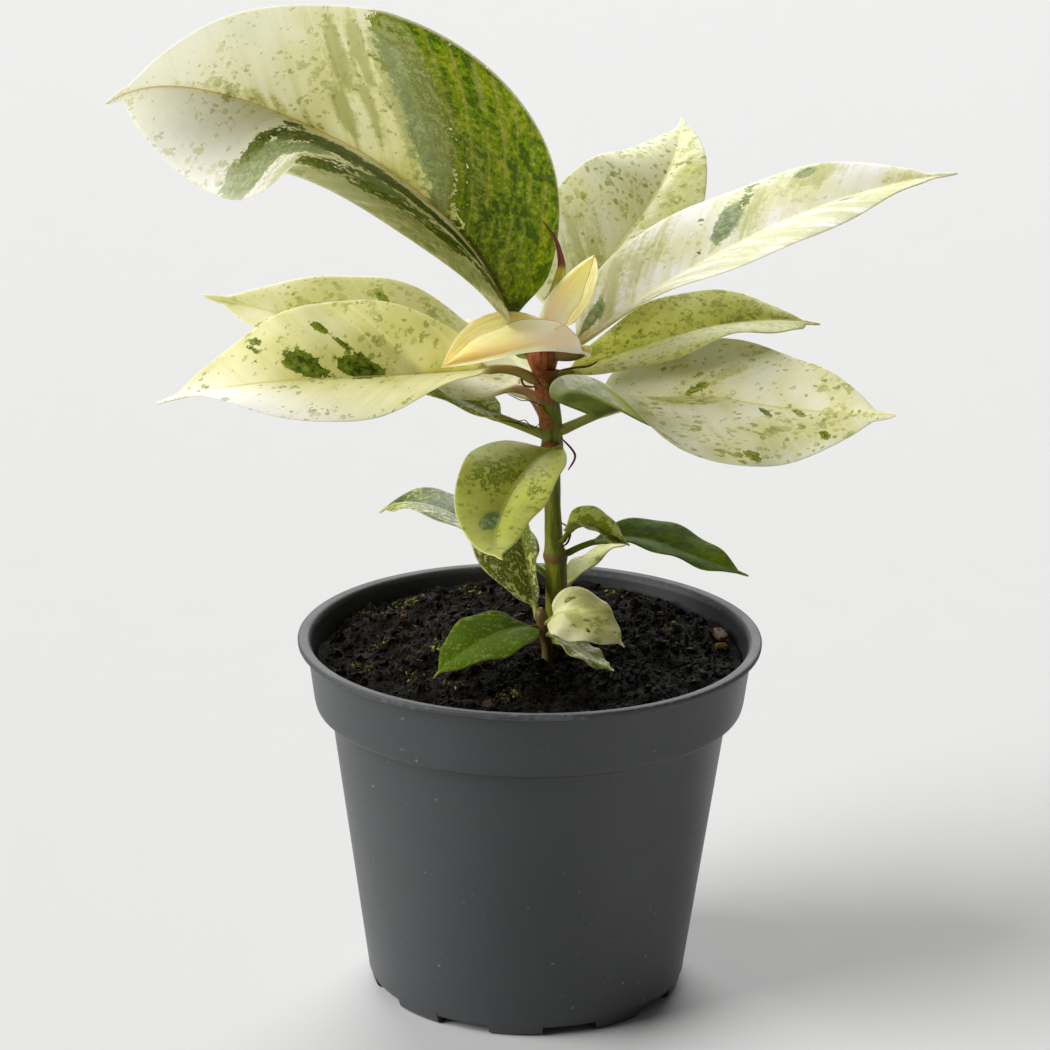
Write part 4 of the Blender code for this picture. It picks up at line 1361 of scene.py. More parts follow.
@dataclass
class Pot:
    """The round nursery pot: base, shoulder, collar, flared lip, notched foot and drain holes."""

    height: float = 0.095
    rim: float = 0.060
    lip: float = 0.0015
    collar_top: float = 0.0575
    collar_low: float = 0.0556
    collar_height: float = 0.0780
    shoulder_height: float = 0.0752
    shoulder: float = 0.0514
    base: float = 0.0410
    wall: float = 0.0014
    floor: float = 0.0040
    foot: float = 0.0025
    foot_width: float = 0.0040
    feet: int = 9
    notch_share: float = 0.5
    first_notch: float = -73.5
    boss: float = 0.013
    drains: int = 8
    drain: float = 0.003
    drain_circle: float = 0.025
    finish: PotFinish = PotFinish()

    def inside(self, height: float) -> float:
        """Return the radius of the inside at a height.

        Args:
            height: The height above the floor.

        Returns:
            The radius, in metres.
        """
        heights = (self.floor, self.shoulder_height, self.collar_height, self.height)
        radii = (self.base - self.wall, self.shoulder - self.wall, self.collar_low - self.wall,
                 self.collar_top - self.wall / 2)
        return float(np.interp(height, heights, radii))

    def _corners(self) -> list[Point]:
        """Return the corners of the profile with their roundings.

        Returns:
            Each corner's radius from the axis, height and rounding.
        """
        inner_foot = self.base - self.foot_width
        return [(0.0, 0.0006, 0.0), (self.boss, 0.0006, 0.0004),
                (self.boss + 0.0005, self.foot, 0.0003), (inner_foot - 0.0005, self.foot, 0.0003),
                (inner_foot, 0.0, 0.0004), (self.base - 0.0006, 0.0, 0.0016),
                (self.base + 0.0004, 0.0038, 0.0004), (self.base + 0.0006, 0.0040, 0.0002),
                (self.base + 0.0006, 0.0044, 0.0002),
                (self.shoulder, self.shoulder_height, 0.0006),
                (self.collar_low - 0.0004, self.collar_height - 0.0012, 0.0012),
                (self.collar_low + 0.0001, self.collar_height + 0.0008, 0.0006),
                (self.collar_top, self.height - self.lip - 0.0010, 0.0006),
                (self.rim - 0.0001, self.height - self.lip, 0.0004),
                (self.rim, self.height - 0.0003, 0.0005), (self.rim - 0.0006, self.height, 0.0005),
                (self.inside(self.height) + 0.0004, self.height - 0.0002, 0.0006),
                (self.inside(self.height) - 0.0003, self.height - 0.0014, 0.0006),
                (self.inside(self.collar_height), self.collar_height, 0.0008),
                (self.inside(self.shoulder_height), self.shoulder_height, 0.0008),
                (self.inside(self.floor), self.floor, 0.0010), (0.0, self.floor, 0.0)]

    def _angles(self) -> list[float]:
        """Return the angles of the columns, with a close pair at each edge of a notch.

        Returns:
            The angles, in radians.
        """
        pitch = math.tau / self.feet
        half = pitch * self.notch_share / 2
        edge = math.radians(0.25)
        angles = []
        for k in range(self.feet):
            centre = math.radians(self.first_notch) + k * pitch
            angles += list(np.linspace(centre - half, centre + half, 11))
            angles += list(np.linspace(centre + half + edge, centre - half + pitch - edge, 11))
        return angles

    def _in_notch(self, x: float, y: float) -> bool:
        """Say whether a place is in one of the notches of the foot.

        Args:
            x: The place from the pot's axis.
            y: The place from the pot's axis.

        Returns:
            Whether it is in one.
        """
        pitch = math.tau / self.feet
        offset = (math.atan2(y, x) - math.radians(self.first_notch) + pitch / 2) % pitch - pitch / 2
        return abs(offset) <= pitch * self.notch_share / 2 + math.radians(0.1)

    def _shaped(self, x: float, y: float, z: float) -> Point:
        """Return where a point of the profile goes: raised in a notch, and a lip not quite true.

        Args:
            x: The place from the pot's axis.
            y: The place from the pot's axis.
            z: The height above the floor.

        Returns:
            The place that it goes to.
        """
        if z < self.foot and math.hypot(x, y) > self.boss + 0.002 and self._in_notch(x, y):
            z = self.foot
        if z > self.collar_height:
            angle = math.atan2(y, x)
            share = (z - self.collar_height) / (self.height - self.collar_height)
            z += -0.00012 * share * (1 - math.sin(3 * angle + 0.7))
        return x, y, z

    def build(self) -> None:
        """Build the pot, cut its drain holes and dress it."""
        pot = spin("pot_shell", rounded(self._corners()), self._angles(), material_of(self.finish),
                   self._shaped, 32.0)
        cutters = [self._cutter(k) for k in range(self.drains)]
        for cutter in cutters:
            hole = pot.modifiers.new(cutter.name, "BOOLEAN")
            hole.operation = "DIFFERENCE"
            hole.object = cutter
        shown = pot.evaluated_get(bpy.context.evaluated_depsgraph_get())
        pot.data = bpy.data.meshes.new_from_object(shown)
        pot.modifiers.clear()
        for cutter in cutters:
            bpy.data.objects.remove(cutter, do_unlink=True)
        belong(pot, "pot_plastic", "pot")

    def _cutter(self, index: int) -> bpy.types.Object:
        """Return the cylinder that cuts one drain hole.

        Args:
            index: The hole's number.

        Returns:
            The cylinder's object.
        """
        angle = math.tau * (index + 0.5) / self.drains
        x, y = self.drain_circle * math.cos(angle), self.drain_circle * math.sin(angle)
        shape = bmesh.new()
        bmesh.ops.create_cone(shape, cap_ends=True, segments=24, radius1=self.drain,
                              radius2=self.drain, depth=0.02)
        bmesh.ops.translate(shape, verts=shape.verts, vec=(x, y, self.floor))
        mesh = bpy.data.meshes.new(f"drain_{index}")
        shape.to_mesh(mesh)
        shape.free()
        return placed(mesh.name, mesh)


@dataclass(frozen=True)
class CrumbFinish:
    """Loose matter of one colour range, varied from crumb to crumb."""

    name: str
    dark: Colour
    light: Colour
    rare: Colour
    rare_share: float = 0.1
    roughness: float = 0.9
    scale: float = 1500.0
    # How strong the painted shade at the front right is, and its colour.
    painted_shade_share: float = 0.0
    painted_shade: Colour = seen(4, 3, 2)

    def material(self) -> bpy.types.Material:
        """Build the material from each crumb's own number and a noise, with painted shade towards
        the front right.

        Returns:
            The material.
        """
        crumb = Surface(self.name)
        own, other, third = crumb.split(crumb.attribute("crumb"))
        place = crumb.place()
        grain = crumb.noise(place, self.scale, 3.0, 0.6)
        area = crumb.noise(place, 70.0, 2.0, 0.5)
        body = crumb.mix((own * 0.5 + grain * 0.6 + (area - 0.5) * 0.8).between(0.35, 0.95),
                         self.dark, self.light)
        rare = other.between(1.0 - self.rare_share, 1.02 - self.rare_share)
        body = crumb.mix(rare, body, self.rare)
        # Painted shade: darker towards the front right, away from the lights.
        x, y, _ = crumb.split(place)
        painted_shade = (x * 9.0 - y * 14.0 + (area - 0.5) * 1.6).between(-0.5, 0.6)
        body = crumb.mix(painted_shade * self.painted_shade_share, body, self.painted_shade)
        return crumb.finish(body, self.roughness - third * 0.25, grain, 0.0003,
                            specular_ior_level=0.1)


@dataclass(frozen=True)
class SoilFinish:
    """Peat, with painted shade that leaves it nearly black at the front right and painted light
    that makes it browner at the back left.
    """

    name: str = "dark peat"
    dark: Colour = seen(7, 6, 4)
    light: Colour = seen(24, 19, 13)
    # The colour of the painted light at the back left.
    dry: Colour = seen(56, 46, 30)

    def material(self) -> bpy.types.Material:
        """Build the peat's material.

        Returns:
            The material.
        """
        soil = Surface(self.name)
        place = soil.place()
        x, y, _ = soil.split(place)
        grain = soil.noise(place, 1100.0, 4.0, 0.65)
        lumps = soil.noise(place, 260.0, 3.0, 0.6)
        area = soil.noise(place, 45.0, 2.0, 0.5)
        # Painted light: browner towards the back left, where the lights come from.
        dry = (y * 9.0 - x * 5.0 + area * 0.9).between(0.35, 1.1)
        body = soil.mix(grain.between(0.35, 0.75), self.dark, self.light)
        body = soil.mix(dry * lumps.between(0.4, 0.7) * 0.5, body, self.dry)
        return soil.finish(body, 0.92 - lumps * 0.2, grain * 0.6 + lumps * 0.4, 0.0012,
                           specular_ior_level=0.1)


# The peat crumbs, the fine crumbs and the fibres carry painted shade at the front right.
PEAT_CRUMBS = CrumbFinish("peat crumbs", seen(8, 6, 4), seen(40, 31, 21), seen(86, 66, 42),
                          rare_share=0.05, painted_shade_share=0.85)
FINE_CRUMBS = CrumbFinish("fine crumbs", seen(12, 9, 6), seen(56, 44, 29), seen(150, 128, 90),
                          rare_share=0.05, painted_shade_share=0.8)
MOSS = CrumbFinish("moss", seen(36, 38, 16), seen(86, 88, 42), seen(140, 130, 78),
                   rare_share=0.12, roughness=0.95, scale=2600.0)
FIBRES = CrumbFinish("fibres", seen(40, 29, 19), seen(104, 80, 52), seen(160, 134, 96),
                     rare_share=0.12, painted_shade_share=0.7)
BARK = CrumbFinish("bark chip", seen(60, 44, 34), seen(142, 112, 92), seen(150, 120, 100),
                   roughness=0.85, scale=900.0)
MUSTARD = CrumbFinish("mustard lump", seen(96, 78, 30), seen(142, 118, 52), seen(160, 136, 70))


@dataclass
class Soil:
    """The soil in the pot: an uneven plug under loose crumbs, fibres, moss and a chip of bark."""

    pot: Pot
    level: float = 0.0895
    back_rise: float = 0.0035
    edge_fall: float = 0.0020
    lump: float = 0.0007
    crumbling: tuple[tuple[float, float, int, float], ...] = ((190.0, 1.7, 4, 0.0012),
                                                              (720.0, 5.1, 3, 0.00055))
    rings: int = 72
    columns: int = 220

    def height(self, x: float, y: float) -> float:
        """Return the height of the solid's surface, higher at the back and lower at the wall.

        Args:
            x: The place from the pot's axis.
            y: The place from the pot's axis.

        Returns:
            The height, in metres.
        """
        wall = self.pot.inside(self.level)
        radius = math.hypot(x, y) / wall
        lumps = math.sin(210 * x + 1.0) * math.sin(190 * y + 0.4)
        lumps += 0.5 * math.sin(420 * x - 310 * y)
        smooth = self.level + self.back_rise * y / wall - self.edge_fall * radius ** 4
        return smooth + self.lump * lumps

    def rough(self, x: float, y: float) -> float:
        """Return the height of the crumbly surface.

        Args:
            x: The place from the pot's axis.
            y: The place from the pot's axis.

        Returns:
            The height, in metres.
        """
        height = self.height(x, y)
        for scale, layer, octaves, depth in self.crumbling:
            place = Vector((x * scale, y * scale, layer))
            height += depth * noise.fractal(place, 1.0, 2.1, octaves)
        return height

    def _surface(self, x: float, y: float, z: float) -> Point:
        """Return where a point of the plug's profile goes."""
        return (x, y, self.rough(x, y)) if z >= self.level else (x, y, z)

    def build(self) -> None:
        """Build the plug and everything loose on it."""
        wall = self.pot.inside(self.level - self.back_rise) - 0.0004
        top = [(wall * (self.rings - i) / self.rings, self.level) for i in range(self.rings)]
        side = [(self.pot.inside(self.pot.floor) - 0.001, self.pot.floor + GAP),
                (self.pot.inside(self.pot.shoulder_height) - 0.0006, self.pot.shoulder_height),
                (self.pot.inside(self.pot.collar_height) - 0.0006, self.pot.collar_height)]
        profile = [(0.0, self.pot.floor + GAP)] + side + top + [(0.0, self.level)]
        angles = [math.tau * i / self.columns for i in range(self.columns)]
        plug = spin("soil_plug", profile, angles, material_of(SoilFinish()), self._surface, 80.0)
        belong(plug, "soil", "soil")
        loose = CrumbPattern()
        for name, finish, spacing, size, detail, seed in (
                ("soil_lumps", PEAT_CRUMBS, 0.0044, 0.0016, 2, 3),
                ("soil_crumbs", PEAT_CRUMBS, 0.0013, 0.00066, 1, 8),
                ("soil_grains", FINE_CRUMBS, 0.0016, 0.0003, 1, 5)):
            piece = loose.run(name, self._carrier(0.0, 0.0, 0.0525), material_of(finish),
                              spacing=spacing, size=size, detail=detail, seed=seed)
            belong(piece, "soil")
        carrier = self._carrier(0.0, 0.0, 0.050)
        belong(FibrePattern().run("soil_fibres", carrier, material_of(FIBRES)), "soil")
        self._moss(loose)
        self._lump("bark_chip", (0.05, 0.015), (0.0042, 0.0016, 0.0008), 100.0, BARK, 0.0016)
        self._lump("mustard_lump", (0.05, 0.0095), (0.0017, 0.0014, 0.0011), 10.0, MUSTARD, 0.0007)

    def _carrier(self, x: float, y: float, radius: float, rings: int = 26) -> bpy.types.Object:
        """Return a disc that follows the soil, for a pattern to cover.

        Args:
            x: Its centre's place.
            y: Its centre's place.
            radius: Its radius.
            rings: How finely it follows the soil.

        Returns:
            The disc's object.
        """
        points = [(x, y, self.rough(x, y))]
        sides = 6 * rings
        for i in range(1, rings + 1):
            for k in range(sides):
                angle = math.tau * k / sides
                px = x + radius * i / rings * math.cos(angle)
                py = y + radius * i / rings * math.sin(angle)
                points.append((px, py, self.rough(px, py)))
        faces = [(0, 1 + k, 1 + (k + 1) % sides) for k in range(sides)]
        for i in range(rings - 1):
            low = 1 + i * sides
            for k in range(sides):
                j = (k + 1) % sides
                faces.append((low + k, low + sides + k, low + sides + j, low + j))
        return placed("carrier", plain_mesh("carrier", points, faces))

    def _moss(self, loose: "CrumbPattern") -> None:
        """Grow the moss clumps, most of them near the wall.

        Args:
            loose: The pattern that scatters crumbs.
        """
        clumps = ((-4.8, -25.8, 3.4), (-2.4, -19.0, 2.2), (-44.0, 30.0, 4.0), (-19.0, -20.0, 2.6),
                  (-43.0, -10.0, 2.8), (-15.0, 46.0, 4.0), (23.0, 46.0, 3.6), (-33.0, 36.0, 4.0),
                  (14.0, -36.0, 2.0), (37.0, 22.0, 2.4), (-40.0, 6.0, 3.0), (-30.0, -14.0, 3.2),
                  (4.0, -40.0, 3.0), (-24.0, 2.0, 2.4))
        for number, (x, y, radius) in enumerate(clumps, 1):
            carrier = self._carrier(x / 1000, y / 1000, radius / 1000, 5)
            piece = loose.run(f"moss_{number}", carrier, material_of(MOSS), spacing=0.0006,
                              size=0.0007, detail=1, seed=number)
            belong(piece, "soil")

    def _lump(self, name: str, place: tuple[float, float], size: Point, heading: float,
              finish: CrumbFinish, lift: float) -> None:
        """Lay one uneven lump on the soil.

        Args:
            name: The piece's name.
            place: Where it lies.
            size: Its half length, half width and half height.
            heading: How it is turned, in degrees.
            finish: Its finish.
            lift: How far its middle is above the soil.
        """
        shape = bmesh.new()
        bmesh.ops.create_icosphere(shape, subdivisions=4, radius=1.0)
        turned = Matrix.Rotation(math.radians(heading), 3, "Z")
        centre = Vector((*place, self.height(*place) + lift))
        for vertex in shape.verts:
            swell = 1.0 + 0.28 * noise.fractal(vertex.co * 1.7 + centre * 900, 1.0, 2.0, 4)
            square = Vector([math.copysign(abs(part) ** 0.7, part) for part in vertex.co]) * swell
            vertex.co = centre + turned @ Vector([a * b for a, b in zip(square, size)])
        points = np.array([vertex.co[:] for vertex in shape.verts])
        faces = [[vertex.index for vertex in face.verts] for face in shape.faces]
        shape.free()
        own = np.tile([0.5, 0.2, 0.3], (len(points), 1))
        belong(add_mesh(name, points, faces, material_of(finish), {"crumb": own}, 60.0), "soil")


class CrumbPattern(Pattern):
    """Scatters uneven crumbs over a carrier."""

    def __init__(self) -> None:
        """Build the tree."""
        super().__init__("crumbs", {"Spacing": 0.002, "Size": 0.001, "Detail": 1, "Seed": 1})
        ball = self.node("GeometryNodeMeshIcoSphere", None,
                         {"Radius": self.given("Size"), "Subdivisions": self.given("Detail")},
                         "Mesh")
        turned = self.random("FLOAT_VECTOR", (0.0, 0.0, 0.0), (math.tau, math.tau, math.tau), 11)
        size = self.random("FLOAT_VECTOR", (0.25, 0.25, 0.2), (1.4, 1.1, 0.9), 12)
        copies = self.scatter(ball, turned, size, 4.0e6, 13)
        real = self.node("GeometryNodeRealizeInstances", None, {"Geometry": copies})
        bumps = self.node("ShaderNodeTexNoise", None, {"Scale": 900.0, "Detail": 3.0}, "Color")
        middle = self.node("ShaderNodeVectorMath", {"operation": "SUBTRACT"},
                           {0: bumps, 1: (0.5, 0.5, 0.5)})
        shift = self.node("ShaderNodeVectorMath", {"operation": "SCALE"},
                          {0: middle, "Scale": self.given("Size") * 1.6})
        moved = self.node("GeometryNodeSetPosition", None, {"Geometry": real, "Offset": shift})
        self.end(moved, smooth=False)


class FibrePattern(Pattern):
    """Lays short bent fibres over a carrier."""

    def __init__(self) -> None:
        """Build the tree."""
        super().__init__("fibres", {"Spacing": 0.0034, "Length": 0.006, "Thickness": 0.0001,
                                    "Seed": 4})
        arc = self.node("GeometryNodeCurveArc", {"mode": "RADIUS"},
                        {"Resolution": 7, "Radius": self.given("Length"), "Start Angle": 0.0,
                         "Sweep Angle": 0.9}, "Curve")
        back = self.node("ShaderNodeCombineXYZ", None,
                         {"X": self.given("Length") * -0.9, "Y": self.given("Length") * -0.42})
        arc = self.node("GeometryNodeTransform", None, {"Geometry": arc, "Translation": back})
        ring = self.node("GeometryNodeCurvePrimitiveCircle", {"mode": "RADIUS"},
                         {"Resolution": 4, "Radius": self.given("Thickness")}, "Curve")
        fibre = self.node("GeometryNodeCurveToMesh", None,
                          {"Curve": arc, "Profile Curve": ring, "Fill Caps": True})
        turned = self.random("FLOAT_VECTOR", (-0.35, -0.35, 0.0), (0.35, 0.35, math.tau), 21)
        size = self.random("FLOAT", 0.25, 1.1, 22)
        self.end(self.scatter(fibre, turned, size, 4.0e5, 23))


class ThreadPattern(Pattern):
    """Thickens lines into thin threads that taper to their ends."""

    def __init__(self) -> None:
        """Build the tree."""
        super().__init__("threads", {"Thickness": 0.00014})
        fine = self.node("GeometryNodeCurveSplineType", {"spline_type": "CATMULL_ROM"},
                         {"Curve": self.given("Geometry")})
        fine = self.node("GeometryNodeResampleCurve", {"mode": "COUNT"},
                         {"Curve": fine, "Count": 28})
        share = self.node("GeometryNodeSplineParameter", None, None, "Factor")
        taper = self.math("POWER", self.math("SINE", share * math.pi * 0.92 + 0.15), 0.4)
        ring = self.node("GeometryNodeCurvePrimitiveCircle", {"mode": "RADIUS"},
                         {"Resolution": 8, "Radius": self.given("Thickness")}, "Curve")
        self.end(self.node("GeometryNodeCurveToMesh", None,
                           {"Curve": fine, "Profile Curve": ring, "Scale": taper,
                            "Fill Caps": True}))


@dataclass(frozen=True)
class StemFinish:
    """Green bark with fine ridges, brown leaf scars and a red-brown shiny top."""

    name: str
    green: Colour
    shade: Colour
    scars: tuple[float, ...] = ()
    brown_from: float = 1.0
    scar: Colour = seen(112, 78, 50)
    top: Colour = seen(156, 86, 42)
    top_shade: Colour = seen(92, 48, 20)

    def material(self) -> bpy.types.Material:
        """Build the bark's material.

        Returns:
            The material.
        """
        stem = Surface(self.name)
        place = stem.place()
        x, y, height = stem.split(place)
        fibre = stem.noise_of(x * 900.0, y * 900.0, height * 120.0, 3.0, 0.6)
        spots = stem.noise(place, 900.0, 2.0, 0.5)
        body = stem.mix(fibre.between(0.3, 0.7), self.green, self.shade)
        body = stem.mix(spots.between(0.60, 0.70) * 0.5, body, self.scar)
        for level in self.scars:
            near = 1.0 - abs(height - level + (spots - 0.5) * 0.0016).between(0.0006, 0.0017)
            body = stem.mix(near * 0.8, body, self.scar)
        brown = (height + (fibre - 0.5) * 0.004).between(self.brown_from, self.brown_from + 0.004)
        top = stem.mix(fibre.between(0.35, 0.7), self.top, self.top_shade)
        body = stem.mix(brown, body, top)
        return stem.finish(body, 0.52 - fibre * 0.12, fibre * 0.7 + spots * 0.3, 0.0003,
                           specular_ior_level=0.25)


def smoothed(values: np.ndarray, kernel: np.ndarray, **ends: str) -> np.ndarray:
    """Return values blurred by a kernel, with their ends padded as numpy is told to."""
    return np.convolve(np.pad(values, len(kernel) // 2, **ends), kernel / kernel.sum(), "valid")


@dataclass
class Trunk:
    """One stem, smooth between its nodes and swollen a little where leaves have grown."""

    stem: Stem
    slot: str
    finish: StemFinish
    foot: float
    bumps: tuple[float, ...]
    swelling: float = 0.0
    swollen_height: float = 0.156
    swollen_reach: float = 0.011
    bump: float = 0.09
    bump_reach: float = 0.0009
    sides: int = 32
    step: float = 0.0007

    # The relief of the bark, and how far the top narrows.
    grain = 0.05
    flute = 0.02
    tip = 0.55

    def build(self) -> None:
        """Build the stem and dress it."""
        levels = np.arange(self.foot, STEM_PATHS[self.stem][1][-1][0] + self.step / 2, self.step)
        radius, centre, depth = self.stem.at(levels)
        bell = np.exp(-np.linspace(-1.6, 1.6, 7) ** 2)
        radius, centre = smoothed(radius, bell, mode="edge"), smoothed(centre, bell, mode="edge")
        swollen = np.exp(-((levels - self.swollen_height) / self.swollen_reach) ** 4)
        radius = radius * (1 + self.swelling * swollen)
        for height in self.bumps:
            radius = radius * (1 + self.bump * np.exp(-((levels - height) / self.bump_reach) ** 2))
        radius[-1] *= self.tip
        points = []
        for level, x, r in zip(levels, centre, radius):
            for i in range(self.sides):
                angle = math.tau * i / self.sides
                around = Vector((math.cos(angle) * 2.2, math.sin(angle) * 2.2, level * 160.0))
                grain = self.grain * noise.noise(around)
                swell = r * (1 + grain + self.flute * math.sin(5 * angle + level * 300))
                points.append((x + swell * math.cos(angle), depth + swell * math.sin(angle), level))
        made = add_mesh(self.stem.value + "_bark", np.array(points),
                        tube_faces(len(levels), self.sides), material_of(self.finish))
        belong(made, self.slot, self.stem.value)


@dataclass
class Husk:
    """A dry papery sheath left round the stem where a leaf bud opened."""

    name: str
    low: float
    high: float
    start: float
    sweep: float
    flare: float
    thickness: float = 0.00025
    clearance: float = 0.00025
    rows: int = 10
    columns: int = 28

    # How far the upper edge falls at its ends, how torn it is, and how crumpled.
    drop = 0.45
    tear = 0.16
    crumple = 0.0002

    def build(self, finish: CrumbFinish) -> None:
        """Build the husk as a thin bent strip and dress it.

        Args:
            finish: The papery finish.
        """
        rows, columns = self.rows, self.columns
        outer, inner = [], []
        for i in range(rows):
            rise = i / (rows - 1)
            for k in range(columns):
                share = k / (columns - 1)
                ragged = 1 - self.drop * abs(2 * share - 1) ** 2
                ragged += self.tear * noise.noise(Vector((share * 9, self.low * 900, 0.3)))
                z = self.low + (self.high - self.low) * rise * ragged
                angle = math.radians(self.start + self.sweep * share)
                radius, x, y = Stem.MAIN.at(z)
                crumple = self.crumple * noise.noise(Vector((share * 6, rise * 3, 2.0)))
                radius = radius * 1.08 + self.clearance + (self.flare * rise ** 1.6 + crumple)
                for shell, r in ((outer, radius + self.thickness), (inner, radius)):
                    shell.append((x + r * math.cos(angle), y + r * math.sin(angle), z))
        points = np.array(outer + inner)
        size = rows * columns
        faces = []
        for i in range(rows - 1):
            for k in range(columns - 1):
                a = i * columns + k
                faces.append((a, a + 1, a + columns + 1, a + columns))
                faces.append((size + a, size + a + columns, size + a + columns + 1, size + a + 1))
        edge = [k for k in range(columns)] + [i * columns + columns - 1 for i in range(1, rows)]
        edge += [(rows - 1) * columns + k for k in range(columns - 2, -1, -1)]
        edge += [i * columns for i in range(rows - 2, 0, -1)]
        for a, b in zip(edge, edge[1:] + edge[:1]):
            faces.append((a, size + a, size + b, b))
        own = np.tile([0.5, 0.1, 0.3], (len(points), 1))
        made = add_mesh(self.name, points, faces, material_of(finish), {"crumb": own})
        belong(made, "stem_green")


PAPERY = CrumbFinish("papery husk", seen(110, 58, 26), seen(168, 112, 62), seen(206, 168, 118),
                     rare_share=0.05, roughness=0.6, scale=1300.0)
HUSKS = (Husk("husk_low", low=0.1430, high=0.1462, start=-150.0, sweep=110.0, flare=0.0003),
         Husk("husk_middle", low=0.1492, high=0.1552, start=-190.0, sweep=105.0, flare=0.0002),
         Husk("husk_high", low=0.1570, high=0.1622, start=-215.0, sweep=130.0, flare=0.0002),
         Husk("husk_top", low=0.1618, high=0.1652, start=-120.0, sweep=125.0, flare=0.0005))


@dataclass(frozen=True)
class BudFinish:
    """The skin of the bud: yellow-green at its foot, red-brown at its tip and on one side."""

    name: str = "bud skin"
    green: Colour = seen(168, 164, 20)
    pale: Colour = seen(216, 206, 96)
    brown: Colour = seen(130, 84, 56)
    tip: Colour = seen(120, 46, 38)

    def material(self) -> bpy.types.Material:
        """Build the bud's material.

        Returns:
            The material.
        """
        bud = Surface(self.name)
        along, _, _ = bud.split(bud.attribute("bud_place"))
        place = bud.place()
        x, y, height = bud.split(place)
        stripe = bud.noise_of(x * 2200.0, y * 2200.0, height * 90.0, 3.0, 0.6)
        body = bud.mix(stripe.between(0.35, 0.65), self.green, self.pale)
        lean = height * 0.13 - x - 0.0196
        brown = (lean * 700.0 + (stripe - 0.5) * 2.0).between(0.0, 0.7) * 0.8
        body = bud.mix(brown, body, self.brown)
        tip = (along + (stripe - 0.5) * 0.08).between(0.60, 0.66)
        body = bud.mix(tip, body, self.tip)
        return bud.finish(body, 0.45 - stripe * 0.1, stripe, 0.0002, coat_weight=0.1)


@dataclass
class Bud:
    """The pointed bud between the open scales, bent over at its thin tip."""

    path: tuple[Point, ...] = ((0.0034, 0.0066, 0.1704), (0.0050, 0.0070, 0.1732),
                               (0.0056, 0.0063, 0.1827), (0.0071, 0.0052, 0.1920),
                               (0.0056, 0.0046, 0.1987), (0.0022, 0.0042, 0.2034))
    radii: tuple[float, ...] = (0.0012, 0.0017, 0.0022, 0.0010, 0.0005, 0.00012)
    steps: int = 60
    sides: int = 24

    def build(self) -> None:
        """Build the bud and dress it."""
        given = np.array(self.path)
        knots = np.concatenate([[0.0], np.cumsum(np.linalg.norm(np.diff(given, axis=0), axis=1))])
        t = np.linspace(0.0, 1.0, self.steps)
        rail = [np.interp(t * knots[-1], knots, part) for part in (*given.T, self.radii)]
        rail = np.array([smoothed(part, np.hanning(13), mode="reflect", reflect_type="odd")
                         for part in rail]).T
        points, shares = [], []
        for place, along, share in zip(rail, np.gradient(rail[:, :3], axis=0), t):
            side = Vector((0.0, 1.0, 0.0)).cross(Vector(along)).normalized()
            face = Vector(along).normalized().cross(side)
            for k in range(self.sides):
                angle = math.tau * k / self.sides
                swirl = max(place[3], 0.0001) * (1 + 0.10 * math.sin(angle * 2 + share * 5.0))
                around = side * math.cos(angle) + face * math.sin(angle)
                points.append(Vector(place[:3]) + around * swirl)
                shares.append((share, k / self.sides, 0.0))
        made = add_mesh("bud_skin", np.array([point[:] for point in points]),
                        tube_faces(self.steps, self.sides), material_of(BudFinish()),
                        {"bud_place": np.array(shares)})
        belong(made, "bud", "bud")


@dataclass
class Threads:
    """Dry threads and curls of old bud scales, which follow lines given in millimetres."""

    name: str
    thickness: float
    finish: CrumbFinish
    lines: tuple[tuple[Point, ...], ...]

    def build(self, pattern: ThreadPattern) -> None:
        """Build the threads and dress them.

        Args:
            pattern: The pattern that thickens the lines.
        """
        curve = bpy.data.curves.new(self.name, "CURVE")
        curve.dimensions = "3D"
        for line in self.lines:
            spline = curve.splines.new("POLY")
            spline.points.add(len(line) - 1)
            for point, place in zip(spline.points, line):
                point.co = (*(part / 1000 for part in place), 1.0)
        made = pattern.run(self.name, placed(self.name + "_line", curve),
                           material_of(self.finish), thickness=self.thickness)
        belong(made, "stem_green")


THREADS = (
    Threads("thread_dark", 0.00012,
            CrumbFinish("dark thread", seen(44, 24, 14), seen(84, 50, 30), seen(84, 50, 30)),
            (((1.9, 2, 156.2), (-0.8, 0.8, 157.6), (-3.2, 0, 158), (-7.1, -1, 160.3)),
             ((-0.6, 1.6, 149.8), (-4.0, -0.4, 152.0), (-8.2, -1, 152.9)),
             ((2.2, 3.0, 151.5), (0.2, 1.2, 150.2), (-2.0, 0.4, 152.6), (-4.6, 0, 151.6)))),
    Threads("thread_brown", 0.0003,
            CrumbFinish("brown thread", seen(96, 58, 30), seen(150, 104, 58), seen(150, 104, 58)),
            (((-3.1, 4, 163.7), (-2.3, 4, 160.8), (0.8, 3.6, 160.4)),
             ((7.7, 4.6, 124), (10, 4, 122.2), (9.5, 4, 118.9), (7.7, 4.4, 117.3)),
             ((7.4, 4.4, 146.8), (11, 4, 142.4), (9.3, 4, 138.3)),
             ((5, 1.5, 165), (10, 0, 166.6), (14, -1, 167.4), (16.4, -1, 168.8)))),
    Threads("bud_stub", 0.0015,
            CrumbFinish("bud stub", seen(120, 98, 58), seen(176, 166, 74), seen(150, 96, 70)),
            (((2.5, 5, 168.6), (8, 3.6, 168.8), (11, 2.6, 169.4), (13.6, 1.4, 170.8)),)),
)


